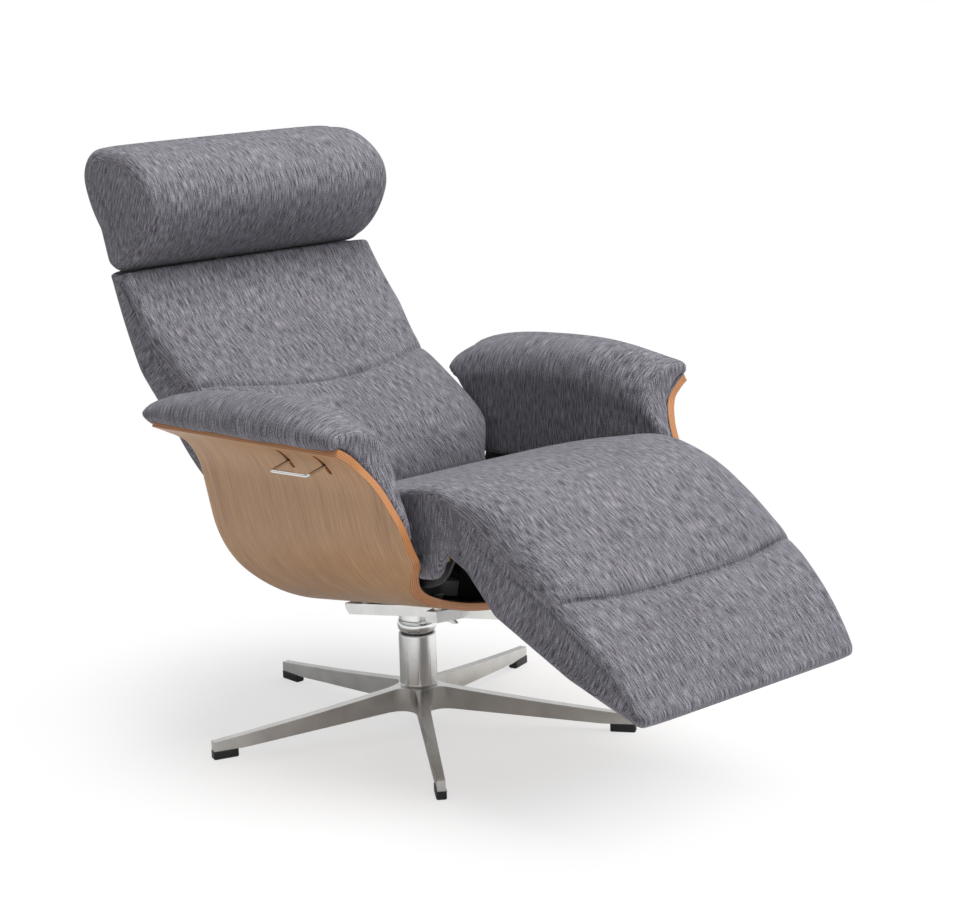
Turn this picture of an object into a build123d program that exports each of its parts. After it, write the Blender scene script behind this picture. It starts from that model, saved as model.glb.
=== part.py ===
from build123d import *
import math
import os

# Swivel recliner: star base, moulded plywood shell that makes both arms, reclining back,
# folding legrest and a headrest that slides and tilts. Millimetres, +Z up, the sitter faces
# -Y, the floor is z = 0. The parts are drawn about the swivel axis and set down at column_y.

# ------------------------------------------------------------------ driving dimensions
column_y = 100.0

# fits and gaps
running_gap = 0.05
seat_gap = 0.3
upholstery_gap = 0.5

# star base
arm_count = 5
first_arm_angle = -54.0
arm_reach = 350.0
arm_root_width = 18.0
arm_tip_width = 13.0
arm_crotch_radius = 27.0
hub_top = 67.0
hub_flat_radius = 38.0
hub_underside = 29.0
tip_top = 29.0
glide_height = 13.0
glide_length = 40.0
glide_width = 16.0

# column and swivel
column_radius = 30.0
column_top = 154.0
column_foot_radius = 28.0
column_foot_height = 5.0
spigot_radius = 20.0
spigot_length = 32.0
bushing_radius = 22.0
bushing_flange_radius = 26.5
bushing_flange_height = 6.0
bushing_rise = 2.0
spindle_radius = 16.0
spindle_foot_z = 87.0
thrust_washer_thickness = 3.0
spindle_entry = 10.0
collar_bulge_radius = 31.5
collar_neck_radius = 28.7
collar_bulge_rise = 11.0
collar_neck_rise = 22.0

# plywood shell: its belly line falls towards the back, and every cross section is a belly
# arc, a corner arc, a straight leaning wall and a flare that turns outwards
ply_thickness = 12.0
shell_tilt = math.degrees(math.atan(0.1475))
shell_floor_z = 209.3
shell_front_y = -335.0
shell_rear_y = 190.0
shell_wall_x = 293.0
wall_lean = 12.0
flare_radius = 108.0
flare_turn = 51.0
flare_start_z = 457.4
flare_fall = 0.035
front_belly_radius = 455.0
front_belly_half_angle = 23.1
rear_belly_radius = 343.0
rear_belly_half_angle = 42.1
shell_rear_cut_y = 132.0
shell_wing_y = 176.0
shell_wing_z = 508.0
slot_width = 8.0
slot_length = 42.0

# shell carrier
carrier_thickness = 17.5
carrier_rear_y = 108.0
carrier_front_y = -225.0
carrier_rear_half_width = 64.0
carrier_front_half_width = 26.0
carrier_rear_undercut = 11.0
ear_y = -122.0
ear_length = 60.0
ear_half_width = 74.0
fin_height = 7.0
bolt_radius = 4.0
bolt_head_radius = 8.0
bolt_head_height = 4.0
bolt_clearance = 0.2

# mechanism
base_plate_half_width = 45.0
base_plate_thickness = 4.0
side_plate_x = 200.0
side_plate_thickness = 5.0
hinge_arm_thickness = 5.0
hinge_arm_gap = 0.5
cross_tube_radius = 12.5
front_tube_y = -185.0
front_tube_z = 330.0
rear_tube_y = 20.0
rear_tube_z = 302.0
pivot_pin_radius = 6.0
board_thickness = 12.0

# hinges
knee_y = -375.0
knee_z = 432.0
knuckle_radius = 46.0
back_pivot_y = 100.0
back_pivot_z = 345.0
back_knuckle_radius = 60.0

# seat
seat_half_width = 241.5
seat_front_underside = 390.0
seat_rear_underside = 330.0
seat_crown = 6.0

# arm pads
pad_inner_x = 243.0
pad_front_setback = 3.0

# legrest
legrest_half_width = 241.0
legrest_end_half_width = 221.0
legrest_end_y = -712.0
knee_heel_y = -388.0
knee_heel_z = 376.0
legrest_corner_y = -446.0
legrest_corner_z = 320.0
legrest_underside_slope = 0.407
legrest_board_half_width = 205.0

# back
back_half_width = 256.0
back_lower_half_width = 237.5
back_heel_half_width = 211.0
back_rake = 45.0

# headrest
headrest_half_width = 246.0
headrest_pivot_y = 425.0
headrest_pivot_z = 765.0
headrest_heel_radius = 42.0
headrest_slide_rake = 60.0
post_radius = 6.0
post_spacing = 120.0
post_length = 170.0
sleeve_wall = 3.0
sleeve_length = 90.0
sleeve_drop = 60.0

# release handle
handle_wire_radius = 2.6
handle_front_y = -194.0
handle_rear_y = -111.0
handle_bar_x = -360.0
handle_bar_front_z = 504.0
handle_bar_rear_z = 499.0
handle_pivot_x = -283.0
handle_leg_rise = 20.0
handle_shaft_radius = 4.0

# gas strut
strut_front_y = -150.0
strut_front_z = 268.0
strut_radius = 11.0
strut_rod_radius = 4.0
strut_lever = 62.0
strut_lever_angle = -78.0
strut_eye_gap = 1.6
strut_lug_x = 8.0


# ------------------------------------------------------------------ drawing helpers
def outline(plane, start, *steps):
    """Closed wire in a plane; a step is a point for a line, or (through, end) for an arc."""
    edges = []
    here = plane.from_local_coords(Vector(*start))
    for step in steps + (start,):
        if isinstance(step[0], tuple):
            through = plane.from_local_coords(Vector(*step[0]))
            there = plane.from_local_coords(Vector(*step[1]))
            edges.append(Edge.make_three_point_arc(here, through, there))
        else:
            there = plane.from_local_coords(Vector(*step))
            if (there - here).length > 1e-6:
                edges.append(Edge.make_line(here, there))
        here = there
    return Wire(edges)


def side_plane(x):
    """Plane of a side view at x, drawn in (y, z)."""
    return Plane.YZ.offset(x)


def front_plane(y):
    """Plane of a front view at y, drawn in (x, z)."""
    return Plane.XZ.offset(-y)


def side_prism(x0, x1, start, *steps):
    """Side-view outline extruded from x0 to x1."""
    return extrude(Face(outline(side_plane(x0), start, *steps)), amount=x1 - x0, dir=(1, 0, 0))


def plan_prism(z0, z1, start, *steps):
    """Plan outline extruded from z0 to z1."""
    return extrude(Face(outline(Plane.XY.offset(z0), start, *steps)), amount=z1 - z0, dir=(0, 0, 1))


def block(x0, x1, y0, y1, z0, z1):
    """Rectangular block between two corners."""
    return Pos((x0 + x1) / 2, (y0 + y1) / 2, (z0 + z1) / 2) * Box(x1 - x0, y1 - y0, z1 - z0)


def rod(start, end, radius):
    """Round rod between two points."""
    start, end = Vector(*start), Vector(*end)
    run = end - start
    return Solid.make_cylinder(radius, run.length, Plane(origin=start, z_dir=run))


def cross_rod(radius, x0, x1, y, z):
    """Round rod along X."""
    return rod((x0, y, z), (x1, y, z), radius)


def turned(*profile):
    """Solid of revolution about the swivel axis from (radius, z) steps."""
    return revolve(Face(outline(Plane.XZ, *profile)), Axis.Z)


def mirrored(shape):
    """The same piece on the other side of the chair."""
    return mirror(shape, Plane.YZ)


def blend(low, high, share):
    """Outline steps part of the way from one outline to another."""
    if isinstance(low[0], tuple):
        return tuple(blend(a, b, share) for a, b in zip(low, high))
    return tuple(a + (b - a) * share for a, b in zip(low, high))


def cushion(half_width, edge, crown, stations):
    """Loft across the chair from a seam outline at the sides to a crowned one inside."""
    sections = []
    for inset, share in stations:
        sections.append((-half_width + inset, share))
    for inset, share in reversed(stations[:-1] if stations[-1][0] == half_width else stations):
        sections.append((half_width - inset, share))
    wires = []
    for x, share in sections:
        wires.append(outline(side_plane(x), *blend(edge, crown, share)))
    return Solid.make_loft(wires)


def polar(y, z, radius, angle):
    """Side-view point at an angle from +Y about (y, z)."""
    return (y + radius * math.cos(math.radians(angle)), z + radius * math.sin(math.radians(angle)))


# ------------------------------------------------------------------ star base and swivel
def make_star_base():
    """Five blades that meet in concave fillets, cut to their side profile by a revolve."""
    plan = None
    half_root, half_tip = arm_root_width / 2, arm_tip_width / 2
    for index in range(arm_count):
        blade = make_face(
            Polyline((0, -half_root), (arm_reach, -half_tip), (arm_reach, half_tip), (0, half_root), close=True)
        )
        blade = Rot(0, 0, first_arm_angle + index * 360 / arm_count) * blade
        plan = blade if plan is None else plan + blade
    crotches = plan.vertices().sort_by_distance((0, 0, 0))[0:arm_count]
    plan = fillet(crotches, arm_crotch_radius)
    blades = extrude(plan, amount=hub_top + 1)
    foot_start = arm_reach - glide_length - 12
    silhouette = turned(
        (0, hub_underside),
        (58, hub_underside),
        (foot_start, glide_height),
        (arm_reach + 20, glide_height),
        (arm_reach + 20, tip_top),
        (arm_reach - 6, tip_top),
        ((165, 49.5), (hub_flat_radius, hub_top)),
        (0, hub_top),
    )
    bore = Solid.make_cylinder(spigot_radius + running_gap, hub_top + 1)
    return (blades & silhouette) - bore


def make_glide(index):
    """Moulded floor glide under a blade's tip, drawn in towards the floor."""
    half = glide_width / 2
    body = block(arm_reach - glide_length, arm_reach + 1, -half, half, 0, glide_height)
    body = fillet(body.edges().filter_by(Axis.Z), 3)
    body = chamfer(body.faces().sort_by(Axis.Z)[0].edges(), 1.5)
    return Rot(0, 0, first_arm_angle + index * 360 / arm_count) * body


def make_column():
    """Polished column with a rounded foot, a spigot in the hub and a bore for the bushing."""
    flange_seat = column_top + bushing_rise - bushing_flange_height
    bore = bushing_radius + running_gap
    mouth = bushing_flange_radius + running_gap
    floor_z = spindle_foot_z - thrust_washer_thickness
    return turned(
        (0, hub_top - spigot_length),
        (spigot_radius, hub_top - spigot_length),
        (spigot_radius, hub_top),
        (column_foot_radius, hub_top),
        ((column_foot_radius + 1.4, hub_top + 1.6), (column_radius, hub_top + column_foot_height)),
        (column_radius, column_top - 2),
        ((column_radius - 0.6, column_top - 0.6), (column_radius - 2, column_top)),
        (mouth, column_top),
        (mouth, flange_seat),
        (bore, flange_seat),
        (bore, floor_z),
        (0, floor_z),
    )


def make_bushing():
    """Black bushing: a sleeve round the spindle and a flange in the column's mouth."""
    inner = spindle_radius + running_gap
    top = column_top + bushing_rise
    return turned(
        (inner, spindle_foot_z + 1),
        (bushing_radius, spindle_foot_z + 1),
        (bushing_radius, top - bushing_flange_height),
        (bushing_flange_radius, top - bushing_flange_height),
        (bushing_flange_radius, top - 1),
        ((bushing_flange_radius - 0.3, top - 0.3), (bushing_flange_radius - 1, top)),
        (inner, top),
    )


def make_thrust_washer():
    """Washer on the bore's floor that carries the spindle."""
    return turned(
        (0, spindle_foot_z - thrust_washer_thickness),
        (spindle_radius, spindle_foot_z - thrust_washer_thickness),
        (spindle_radius, spindle_foot_z),
        (0, spindle_foot_z),
    )


# ------------------------------------------------------------------ carrier and shell
belly = Plane(
    origin=(0, 0, shell_floor_z),
    x_dir=(1, 0, 0),
    z_dir=(0, math.sin(math.radians(shell_tilt)), math.cos(math.radians(shell_tilt))),
)


def make_spindle():
    """Spindle from the thrust washer into the carrier."""
    top = shell_floor_z - carrier_thickness + spindle_entry - spindle_radius * 0.15
    return rod((0, 0, spindle_foot_z + seat_gap), (0, 0, top), spindle_radius)


def make_collar():
    """Bulged collar on the spindle, cut off by the carrier's sloping underside."""
    foot = column_top + bushing_rise + seat_gap
    inner = spindle_radius + running_gap
    body = turned(
        (inner, foot),
        (bushing_flange_radius, foot),
        (
            (bushing_flange_radius + 3.6, foot + collar_bulge_rise * 0.45),
            (collar_bulge_radius, foot + collar_bulge_rise),
        ),
        (
            (collar_bulge_radius - 0.6, foot + (collar_bulge_rise + collar_neck_rise) / 2),
            (collar_neck_radius, foot + collar_neck_rise),
        ),
        (collar_neck_radius, shell_floor_z),
        (inner, shell_floor_z),
    )
    above = belly * Pos(0, 0, 100 - carrier_thickness - seat_gap) * Box(200, 200, 200)
    return body - above


def bolt_places():
    """Plan positions, in the belly plane, of the four bolts that hold the shell."""
    ear_bolt_x = ear_half_width - bolt_head_radius - 12
    rear_bolt_x = carrier_rear_half_width - bolt_head_radius - 16
    rear_bolt_y = carrier_rear_y - 34
    return [(-ear_bolt_x, ear_y), (ear_bolt_x, ear_y), (-rear_bolt_x, rear_bolt_y), (rear_bolt_x, rear_bolt_y)]


def make_carrier():
    """Tapered cast bar under the belly with a bevelled rear end, an ear and bolt bosses."""
    rear, front = carrier_rear_half_width, carrier_front_half_width
    half_ear = ear_length / 2
    bar = make_face(
        Polyline((-rear, carrier_rear_y), (-front, carrier_front_y), (front, carrier_front_y), (rear, carrier_rear_y), close=True)
    )
    bar = fillet(bar.vertices(), 7)
    ear = make_face(
        Polyline(
            (-ear_half_width, ear_y + half_ear - 18),
            (-ear_half_width, ear_y - half_ear + 18),
            (-front, ear_y - half_ear),
            (front, ear_y - half_ear),
            (ear_half_width, ear_y - half_ear + 18),
            (ear_half_width, ear_y + half_ear - 18),
            (front, ear_y + half_ear),
            (-front, ear_y + half_ear),
            close=True,
        )
    )
    plan = bar + ear
    body = extrude(belly * Pos(0, 0, -seat_gap) * plan, amount=-carrier_thickness)
    far = 2 * carrier_rear_half_width
    wedge = outline(
        side_plane(-far / 2),
        (carrier_rear_y, -seat_gap),
        (carrier_rear_y + 40, -seat_gap),
        (carrier_rear_y + 40, -carrier_thickness - 5),
        (carrier_rear_y - carrier_rear_undercut - 3, -carrier_thickness - 5),
    )
    body -= Pos(0, 0, shell_floor_z) * Rot(-shell_tilt, 0, 0) * extrude(Face(wedge), amount=far, dir=(1, 0, 0))
    fin = side_prism(
        -2.5,
        2.5,
        (ear_y + 28, -carrier_thickness),
        (ear_y - 12, -carrier_thickness),
        (ear_y - 20, -carrier_thickness - fin_height),
        (ear_y - 14, -carrier_thickness - fin_height - 1),
    )
    fin = Rot(-shell_tilt, 0, 0) * fin
    body += Pos(-ear_half_width * 0.55, 0, shell_floor_z - seat_gap) * fin
    bore = Solid.make_cylinder(spindle_radius + running_gap, shell_floor_z)
    top = shell_floor_z - carrier_thickness + spindle_entry - spindle_radius * 0.15
    body -= bore & block(-60, 60, -60, 60, 0, top + running_gap)
    for x, y in bolt_places():
        body += belly * Pos(x, y, 4 - seat_gap - 1) * Cylinder(bolt_head_radius + 3, 10)
    body -= make_shell_space(seat_gap)
    for x, y in bolt_places():
        body -= belly * Pos(x, y, 0) * Cylinder(bolt_radius + bolt_clearance, 60)
    return body


def section_outline(y, floor_z, flare_z, belly_radius, belly_half_angle, grow):
    """Cross section of the plywood at y: outer arcs, end faces and inner arcs in one wire."""
    near = math.radians(belly_half_angle)
    steep = math.radians(90 - wall_lean)
    lean = math.radians(wall_lean)
    tip = math.radians(wall_lean + flare_turn)
    belly_x = belly_radius * math.sin(near)
    corner = (shell_wall_x - belly_x) / (math.sin(steep) - math.sin(near))
    corner_z = floor_z + belly_radius * (1 - math.cos(near)) + corner * math.cos(near)
    corner_x = belly_x - corner * math.sin(near)
    wall = (flare_z - corner_z + corner * math.cos(steep)) / math.sin(steep)
    flare_x = shell_wall_x + wall * math.cos(steep) + flare_radius * math.cos(lean)
    flare_mid = flare_z - flare_radius * math.sin(lean)
    beyond = grow / flare_radius

    def belly_point(offset, angle):
        reach = belly_radius - offset
        return (reach * math.sin(angle), floor_z + belly_radius - reach * math.cos(angle))

    def corner_point(offset, angle):
        reach = corner - offset
        return (corner_x + reach * math.sin(angle), corner_z - reach * math.cos(angle))

    def flare_point(offset, angle):
        reach = flare_radius + offset
        return (flare_x - reach * math.cos(angle), flare_mid + reach * math.sin(angle))

    def left(point):
        return (-point[0], point[1])

    out, inn = -grow, ply_thickness + grow
    mid_corner = (near + steep) / 2
    mid_flare = (lean + tip) / 2
    end = tip + beyond
    steps = [left(flare_point(out, end))]
    steps.append((left(flare_point(out, mid_flare)), left(flare_point(out, lean))))
    steps.append(left(corner_point(out, steep)))
    steps.append((left(corner_point(out, mid_corner)), left(corner_point(out, near))))
    steps.append((belly_point(out, 0), belly_point(out, near)))
    steps.append((corner_point(out, mid_corner), corner_point(out, steep)))
    steps.append(flare_point(out, lean))
    steps.append((flare_point(out, mid_flare), flare_point(out, end)))
    steps.append(flare_point(inn, end))
    steps.append((flare_point(inn, mid_flare), flare_point(inn, lean)))
    steps.append(corner_point(inn, steep))
    steps.append((corner_point(inn, mid_corner), corner_point(inn, near)))
    steps.append((belly_point(inn, 0), left(belly_point(inn, near))))
    steps.append((left(corner_point(inn, mid_corner)), left(corner_point(inn, steep))))
    steps.append(left(flare_point(inn, lean)))
    steps.append((left(flare_point(inn, mid_flare)), left(flare_point(inn, end))))
    return outline(front_plane(y), *steps)


def make_shell_space(grow=0.0):
    """Plywood blank before trimming, grown all over for what has to stay clear of it."""
    fall = math.tan(math.radians(shell_tilt))
    sections = []
    for y, radius, half_angle in (
        (shell_front_y, front_belly_radius, front_belly_half_angle),
        (shell_rear_y, rear_belly_radius, rear_belly_half_angle),
    ):
        floor_z = shell_floor_z - fall * y
        flare_z = flare_start_z - flare_fall * y
        sections.append(section_outline(y, floor_z, flare_z, radius, half_angle, grow))
    return Solid.make_loft(sections, ruled=True)


def ply_end(y, side=1):
    """Outer corner of the flare's end face at y, and the direction along the section there."""
    floor_z = shell_floor_z - math.tan(math.radians(shell_tilt)) * y
    share = (y - shell_front_y) / (shell_rear_y - shell_front_y)
    radius = front_belly_radius + (rear_belly_radius - front_belly_radius) * share
    near = math.radians(front_belly_half_angle + (rear_belly_half_angle - front_belly_half_angle) * share)
    steep = math.radians(90 - wall_lean)
    corner = (shell_wall_x - radius * math.sin(near)) / (math.sin(steep) - math.sin(near))
    flare_z = flare_start_z - flare_fall * y
    rise = flare_z - floor_z - radius * (1 - math.cos(near)) - corner * (math.cos(near) - math.cos(steep))
    lean = math.radians(wall_lean)
    tip = math.radians(wall_lean + flare_turn)
    wall_top_x = shell_wall_x + rise / math.tan(steep)
    end_x = wall_top_x + flare_radius * (math.cos(lean) - math.cos(tip))
    end_z = flare_z + flare_radius * (math.sin(tip) - math.sin(lean))
    return wall_top_x, flare_z, end_x, end_z


def slot_cutter(y):
    """Narrow slot through the flare for one leg of the release handle."""
    wall_top_x, flare_z, end_x, end_z = ply_end(y)
    turn = math.radians(wall_lean + flare_turn * 0.62)
    mid = math.radians(wall_lean)
    x = wall_top_x + flare_radius * (math.cos(mid) - math.cos(turn))
    z = flare_z + flare_radius * (math.sin(turn) - math.sin(mid))
    tilt = math.degrees(turn)
    cutter = Box(60, slot_width, slot_length)
    cutter = fillet(cutter.edges().filter_by(Axis.X), slot_width / 2 - 0.1)
    return Pos(-x, y, z) * Rot(0, -tilt, 0) * cutter


def make_shell():
    """Moulded plywood U, trimmed to its side-view outline, slotted and drilled."""
    far = 400.0
    trim = FilletPolyline(
        (-236, 100),
        (-228, 290),
        (-318, 377),
        (-314, 431),
        (-262, 518),
        (-255, 600),
        (shell_wing_y, 600),
        (shell_wing_y, 523),
        (shell_rear_cut_y, shell_wing_z),
        (shell_rear_cut_y, 100),
        radius=[0, 30, 30, 60, 12, 0, 0, 2, 10, 0],
        close=True,
    )
    side = extrude(side_plane(-far) * make_face(trim), amount=2 * far)
    body = make_shell_space() & side
    body -= slot_cutter(handle_rear_y)
    body -= slot_cutter(handle_front_y)
    for x, y in bolt_places():
        body -= belly * Pos(x, y, 0) * Cylinder(bolt_radius + bolt_clearance, 80)
    return body


# ------------------------------------------------------------------ mechanism in the shell
def plate_rise():
    """Height of the mechanism's base plate above the belly plane."""
    radius = rear_belly_radius - ply_thickness
    edge = radius - math.sqrt(radius ** 2 - base_plate_half_width ** 2)
    return ply_thickness + edge + 2 * seat_gap


def on_belly(y, z):
    """Chair coordinates of a point given in the belly plane's side view."""
    tilt = math.radians(shell_tilt)
    return (y * math.cos(tilt) + z * math.sin(tilt), shell_floor_z + z * math.cos(tilt) - y * math.sin(tilt))


def make_mechanism_base():
    """Folded steel base on the shell's floor, with lugs that hold both cross tubes."""
    low = plate_rise()
    y0, y1 = carrier_front_y + 20, carrier_rear_y - 12
    plate = belly * block(-base_plate_half_width, base_plate_half_width, y0, y1, low, low + base_plate_thickness)
    lugs = None
    for y, z in ((front_tube_y, front_tube_z), (rear_tube_y, rear_tube_z)):
        foot_a = on_belly(y - 32, low + 1)
        foot_b = on_belly(y + 32, low + 1)
        reach = cross_tube_radius + 4
        for x in (-base_plate_half_width, base_plate_half_width - base_plate_thickness):
            lug = side_prism(
                x,
                x + base_plate_thickness,
                foot_a,
                foot_b,
                (y + reach, z),
                ((y, z + reach), (y - reach, z)),
            )
            lugs = lug if lugs is None else lugs + lug
    eye = 12.0
    ahead = on_belly(strut_front_y - 20, low + 1)
    behind = on_belly(strut_front_y + 20, low + 1)
    for x in (-strut_lug_x - 4, strut_lug_x):
        lugs += side_prism(
            x,
            x + 4,
            ahead,
            behind,
            (strut_front_y + eye, strut_front_z),
            ((strut_front_y, strut_front_z + eye), (strut_front_y - eye, strut_front_z)),
        )
    body = plate + lugs
    body -= cross_rod(pivot_pin_radius + running_gap, -30, 30, strut_front_y, strut_front_z)
    for y, z in ((front_tube_y, front_tube_z), (rear_tube_y, rear_tube_z)):
        body -= cross_rod(cross_tube_radius + running_gap, -100, 100, y, z)
    for x, y in bolt_places():
        if abs(x) < base_plate_half_width:
            body -= belly * Pos(x, y, low) * Cylinder(bolt_radius + bolt_clearance, 60)
    return body


def make_cross_tube(y, z):
    """Cross tube between the side plates."""
    half = side_plate_x - seat_gap
    outer = cross_rod(cross_tube_radius, -half, half, y, z)
    return outer - cross_rod(cross_tube_radius - 2, -half - 1, half + 1, y, z)


def make_shell_bolts():
    """Four bolts from the shell's floor into the carrier."""
    bolts = []
    low = plate_rise()
    for x, y in bolt_places():
        on_plate = abs(x) < base_plate_half_width
        radius = rear_belly_radius - ply_thickness
        floor = ply_thickness + radius - math.sqrt(radius ** 2 - (abs(x) + bolt_head_radius) ** 2)
        seat = low + base_plate_thickness if on_plate else floor
        seat += seat_gap
        shank = seat + carrier_thickness - 3
        body = belly * Pos(x, y, seat - shank / 2) * Cylinder(bolt_radius, shank)
        head = belly * Pos(x, y, seat + bolt_head_height / 2) * Cylinder(bolt_head_radius, bolt_head_height)
        bolts.append(body + head)
    return Compound(bolts)


def seat_underside(y):
    """Height of the seat cushion's underside at y."""
    rear_y = back_pivot_y - back_knuckle_radius - 10
    slope = (seat_front_underside - seat_rear_underside) / (rear_y - knee_y)
    return seat_rear_underside + slope * (rear_y - y)


def make_side_plate():
    """Right side plate: knee pivot in front, back pivot behind, both tubes between."""
    board_low = board_thickness + seat_gap
    front, rear = -318.0, back_pivot_y - 48
    knee = 15.0
    eye = 20.0
    plate = side_prism(
        side_plate_x,
        side_plate_x + side_plate_thickness,
        polar(knee_y, knee_z, knee, 250),
        ((knee_y - knee, knee_z), polar(knee_y, knee_z, knee, 60)),
        polar(knee_y, knee_z, 62, 330),
        (front, seat_underside(front) - board_low),
        (rear, seat_underside(rear) - board_low),
        polar(back_pivot_y, back_pivot_z, eye, 145),
        (polar(back_pivot_y, back_pivot_z, eye, 40), polar(back_pivot_y, back_pivot_z, eye, -60)),
        (rear_tube_y + 34, rear_tube_z - 10),
        (rear_tube_y - 20, rear_tube_z - 10),
        ((front_tube_y + 92, front_tube_z - 21), (front_tube_y, front_tube_z - 18)),
        (front_tube_y - 74, front_tube_z - 10),
        ((front_tube_y - 112, front_tube_z + 4), (front_tube_y - 134, front_tube_z + 32)),
        polar(knee_y, knee_z, 60, 313),
        polar(knee_y, knee_z, 44, 316),
    )
    plate -= cross_rod(pivot_pin_radius + running_gap, 150, 300, knee_y, knee_z)
    plate -= cross_rod(pivot_pin_radius + running_gap, 150, 300, back_pivot_y, back_pivot_z)
    for y, z in ((front_tube_y, front_tube_z), (rear_tube_y, rear_tube_z)):
        plate -= cross_rod(5.0, 150, 300, y, z)
    return plate


def make_tube_bolts():
    """Bolts through the side plates into the ends of the cross tubes."""
    bolts = []
    outer = side_plate_x + side_plate_thickness + seat_gap
    for y, z in ((front_tube_y, front_tube_z), (rear_tube_y, rear_tube_z)):
        bolt = cross_rod(4.8, side_plate_x - 18, outer, y, z)
        bolt += cross_rod(9.0, outer, outer + 4, y, z)
        plug = cross_rod(cross_tube_radius - 2.1, side_plate_x - 20, side_plate_x - 2, y, z)
        bolts.append(bolt + plug)
        bolts.append(mirrored(bolt + plug))
    return Compound(bolts)


def make_seat_board():
    """Board under the seat cushion that rests on both side plates."""
    half = seat_half_width - 18
    front, rear = -316.0, back_pivot_y - 74
    return side_prism(
        -half,
        half,
        (front, seat_underside(front) - board_thickness),
        (rear, seat_underside(rear) - board_thickness),
        (rear, seat_underside(rear) - seat_gap),
        (front, seat_underside(front) - seat_gap),
    )


# ------------------------------------------------------------------ upholstery on the shell
def hinge_slot(y, z, radius, first, last, reach):
    """Room inside a cushion's rounded end for the hinge plates of one side."""
    x0 = side_plate_x - hinge_arm_gap - hinge_arm_thickness - 3
    x1 = side_plate_x + side_plate_thickness + 8
    room = cross_rod(radius, x0, x1, y, z)
    middle = (first + last) / 2
    wedge = side_prism(
        x0,
        x1,
        (y, z),
        polar(y, z, reach, first),
        (polar(y, z, reach, middle), polar(y, z, reach, last)),
    )
    return room + wedge


def make_seat_cushion():
    """Seat: crowned top, rounded knee, hollow rear end round the back's pivot, side flaps."""
    low = seat_underside
    rear = back_pivot_y - 20
    corner_reach = math.hypot(knee_heel_y - knee_y, knee_heel_z - knee_z) + 1.5
    edge = (
        (rear, low(rear)),
        (rear, 372),
        ((-110, 422), (-262, 464)),
        ((-325, 477), (knee_y, knee_z + knuckle_radius - 3)),
        (polar(knee_y, knee_z, knuckle_radius - 3, 160), polar(knee_y, knee_z, knuckle_radius - 3, 230)),
        (polar(knee_y, knee_z, knuckle_radius - 3, 270), polar(knee_y, knee_z, knuckle_radius - 3, 308)),
        polar(knee_y, knee_z, corner_reach, 310),
        (knee_y + 62, low(knee_y + 62)),
    )
    crown = (
        (rear, low(rear)),
        (rear, 372 + seat_crown),
        ((-110, 436 + seat_crown), (-262, 471 + seat_crown)),
        ((-325, 481), (knee_y, knee_z + knuckle_radius)),
        (polar(knee_y, knee_z, knuckle_radius, 160), polar(knee_y, knee_z, knuckle_radius, 230)),
        (polar(knee_y, knee_z, knuckle_radius, 270), polar(knee_y, knee_z, knuckle_radius, 308)),
        polar(knee_y, knee_z, corner_reach, 310),
        (knee_y + 62, low(knee_y + 62)),
    )
    stations = ((0, 0.0), (14, 0.66), (48, 0.93), (120, 0.99), (seat_half_width, 1.0))
    body = cushion(seat_half_width, edge, crown, stations)
    flap = side_prism(
        seat_half_width - 18,
        seat_half_width - 1,
        (-240, low(-240) + 20),
        (-240, low(-240) - 4),
        ((-262, 362), (-281, 343)),
        (-317, 347),
        (-345, 412),
        (-345, 425),
    )
    flap -= make_shell_space(upholstery_gap)
    body += flap + mirrored(flap)
    body -= cross_rod(back_knuckle_radius + upholstery_gap, -300, 300, back_pivot_y, back_pivot_z)
    by, bz, reach = back_pivot_y, back_pivot_z, back_knuckle_radius + upholstery_gap
    body -= side_prism(
        -300,
        300,
        (by, bz),
        polar(by, bz, reach, 172),
        (polar(by, bz, reach + 23, 154), polar(by, bz, reach + 49, 139)),
        polar(by, bz, reach + 49, 100),
    )
    slot = hinge_slot(knee_y, knee_z, knuckle_radius - 12, 192, 347, knuckle_radius + 60)
    return body - slot - mirrored(slot)


def pad_section(y, inner_x, inner_rise, crown_x, crown_z, shoulder, roll):
    """Cross section of the right arm pad at y, closed through the middle of the plywood."""
    wall_top_x, flare_z, end_x, end_z = ply_end(y)
    half = ply_thickness / 2
    lean = math.radians(wall_lean)
    tip = math.radians(wall_lean + flare_turn)
    centre_x = wall_top_x + flare_radius * math.cos(lean)
    centre_z = flare_z - flare_radius * math.sin(lean)

    def on_flare(angle, offset=half):
        reach = flare_radius + offset
        return (centre_x - reach * math.cos(angle), centre_z + reach * math.sin(angle))

    low_z = 392.0
    foot_x = wall_top_x - (flare_z - low_z) / math.tan(math.radians(90 - wall_lean)) - half
    nose = on_flare(tip + 0.03, ply_thickness * 0.8)
    return outline(
        front_plane(y),
        (inner_x, low_z),
        (inner_x, inner_rise),
        (
            (inner_x + (crown_x - inner_x) * 0.24, inner_rise + (crown_z - inner_rise) * 0.7),
            (crown_x, crown_z),
        ),
        ((end_x - 20, shoulder), (end_x + 4, end_z + roll)),
        ((end_x + 4.5, end_z + roll * 0.5 + 4), nose),
        on_flare(tip, half),
        (on_flare((tip + lean) / 2), on_flare(lean)),
        (foot_x, low_z),
    )


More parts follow.
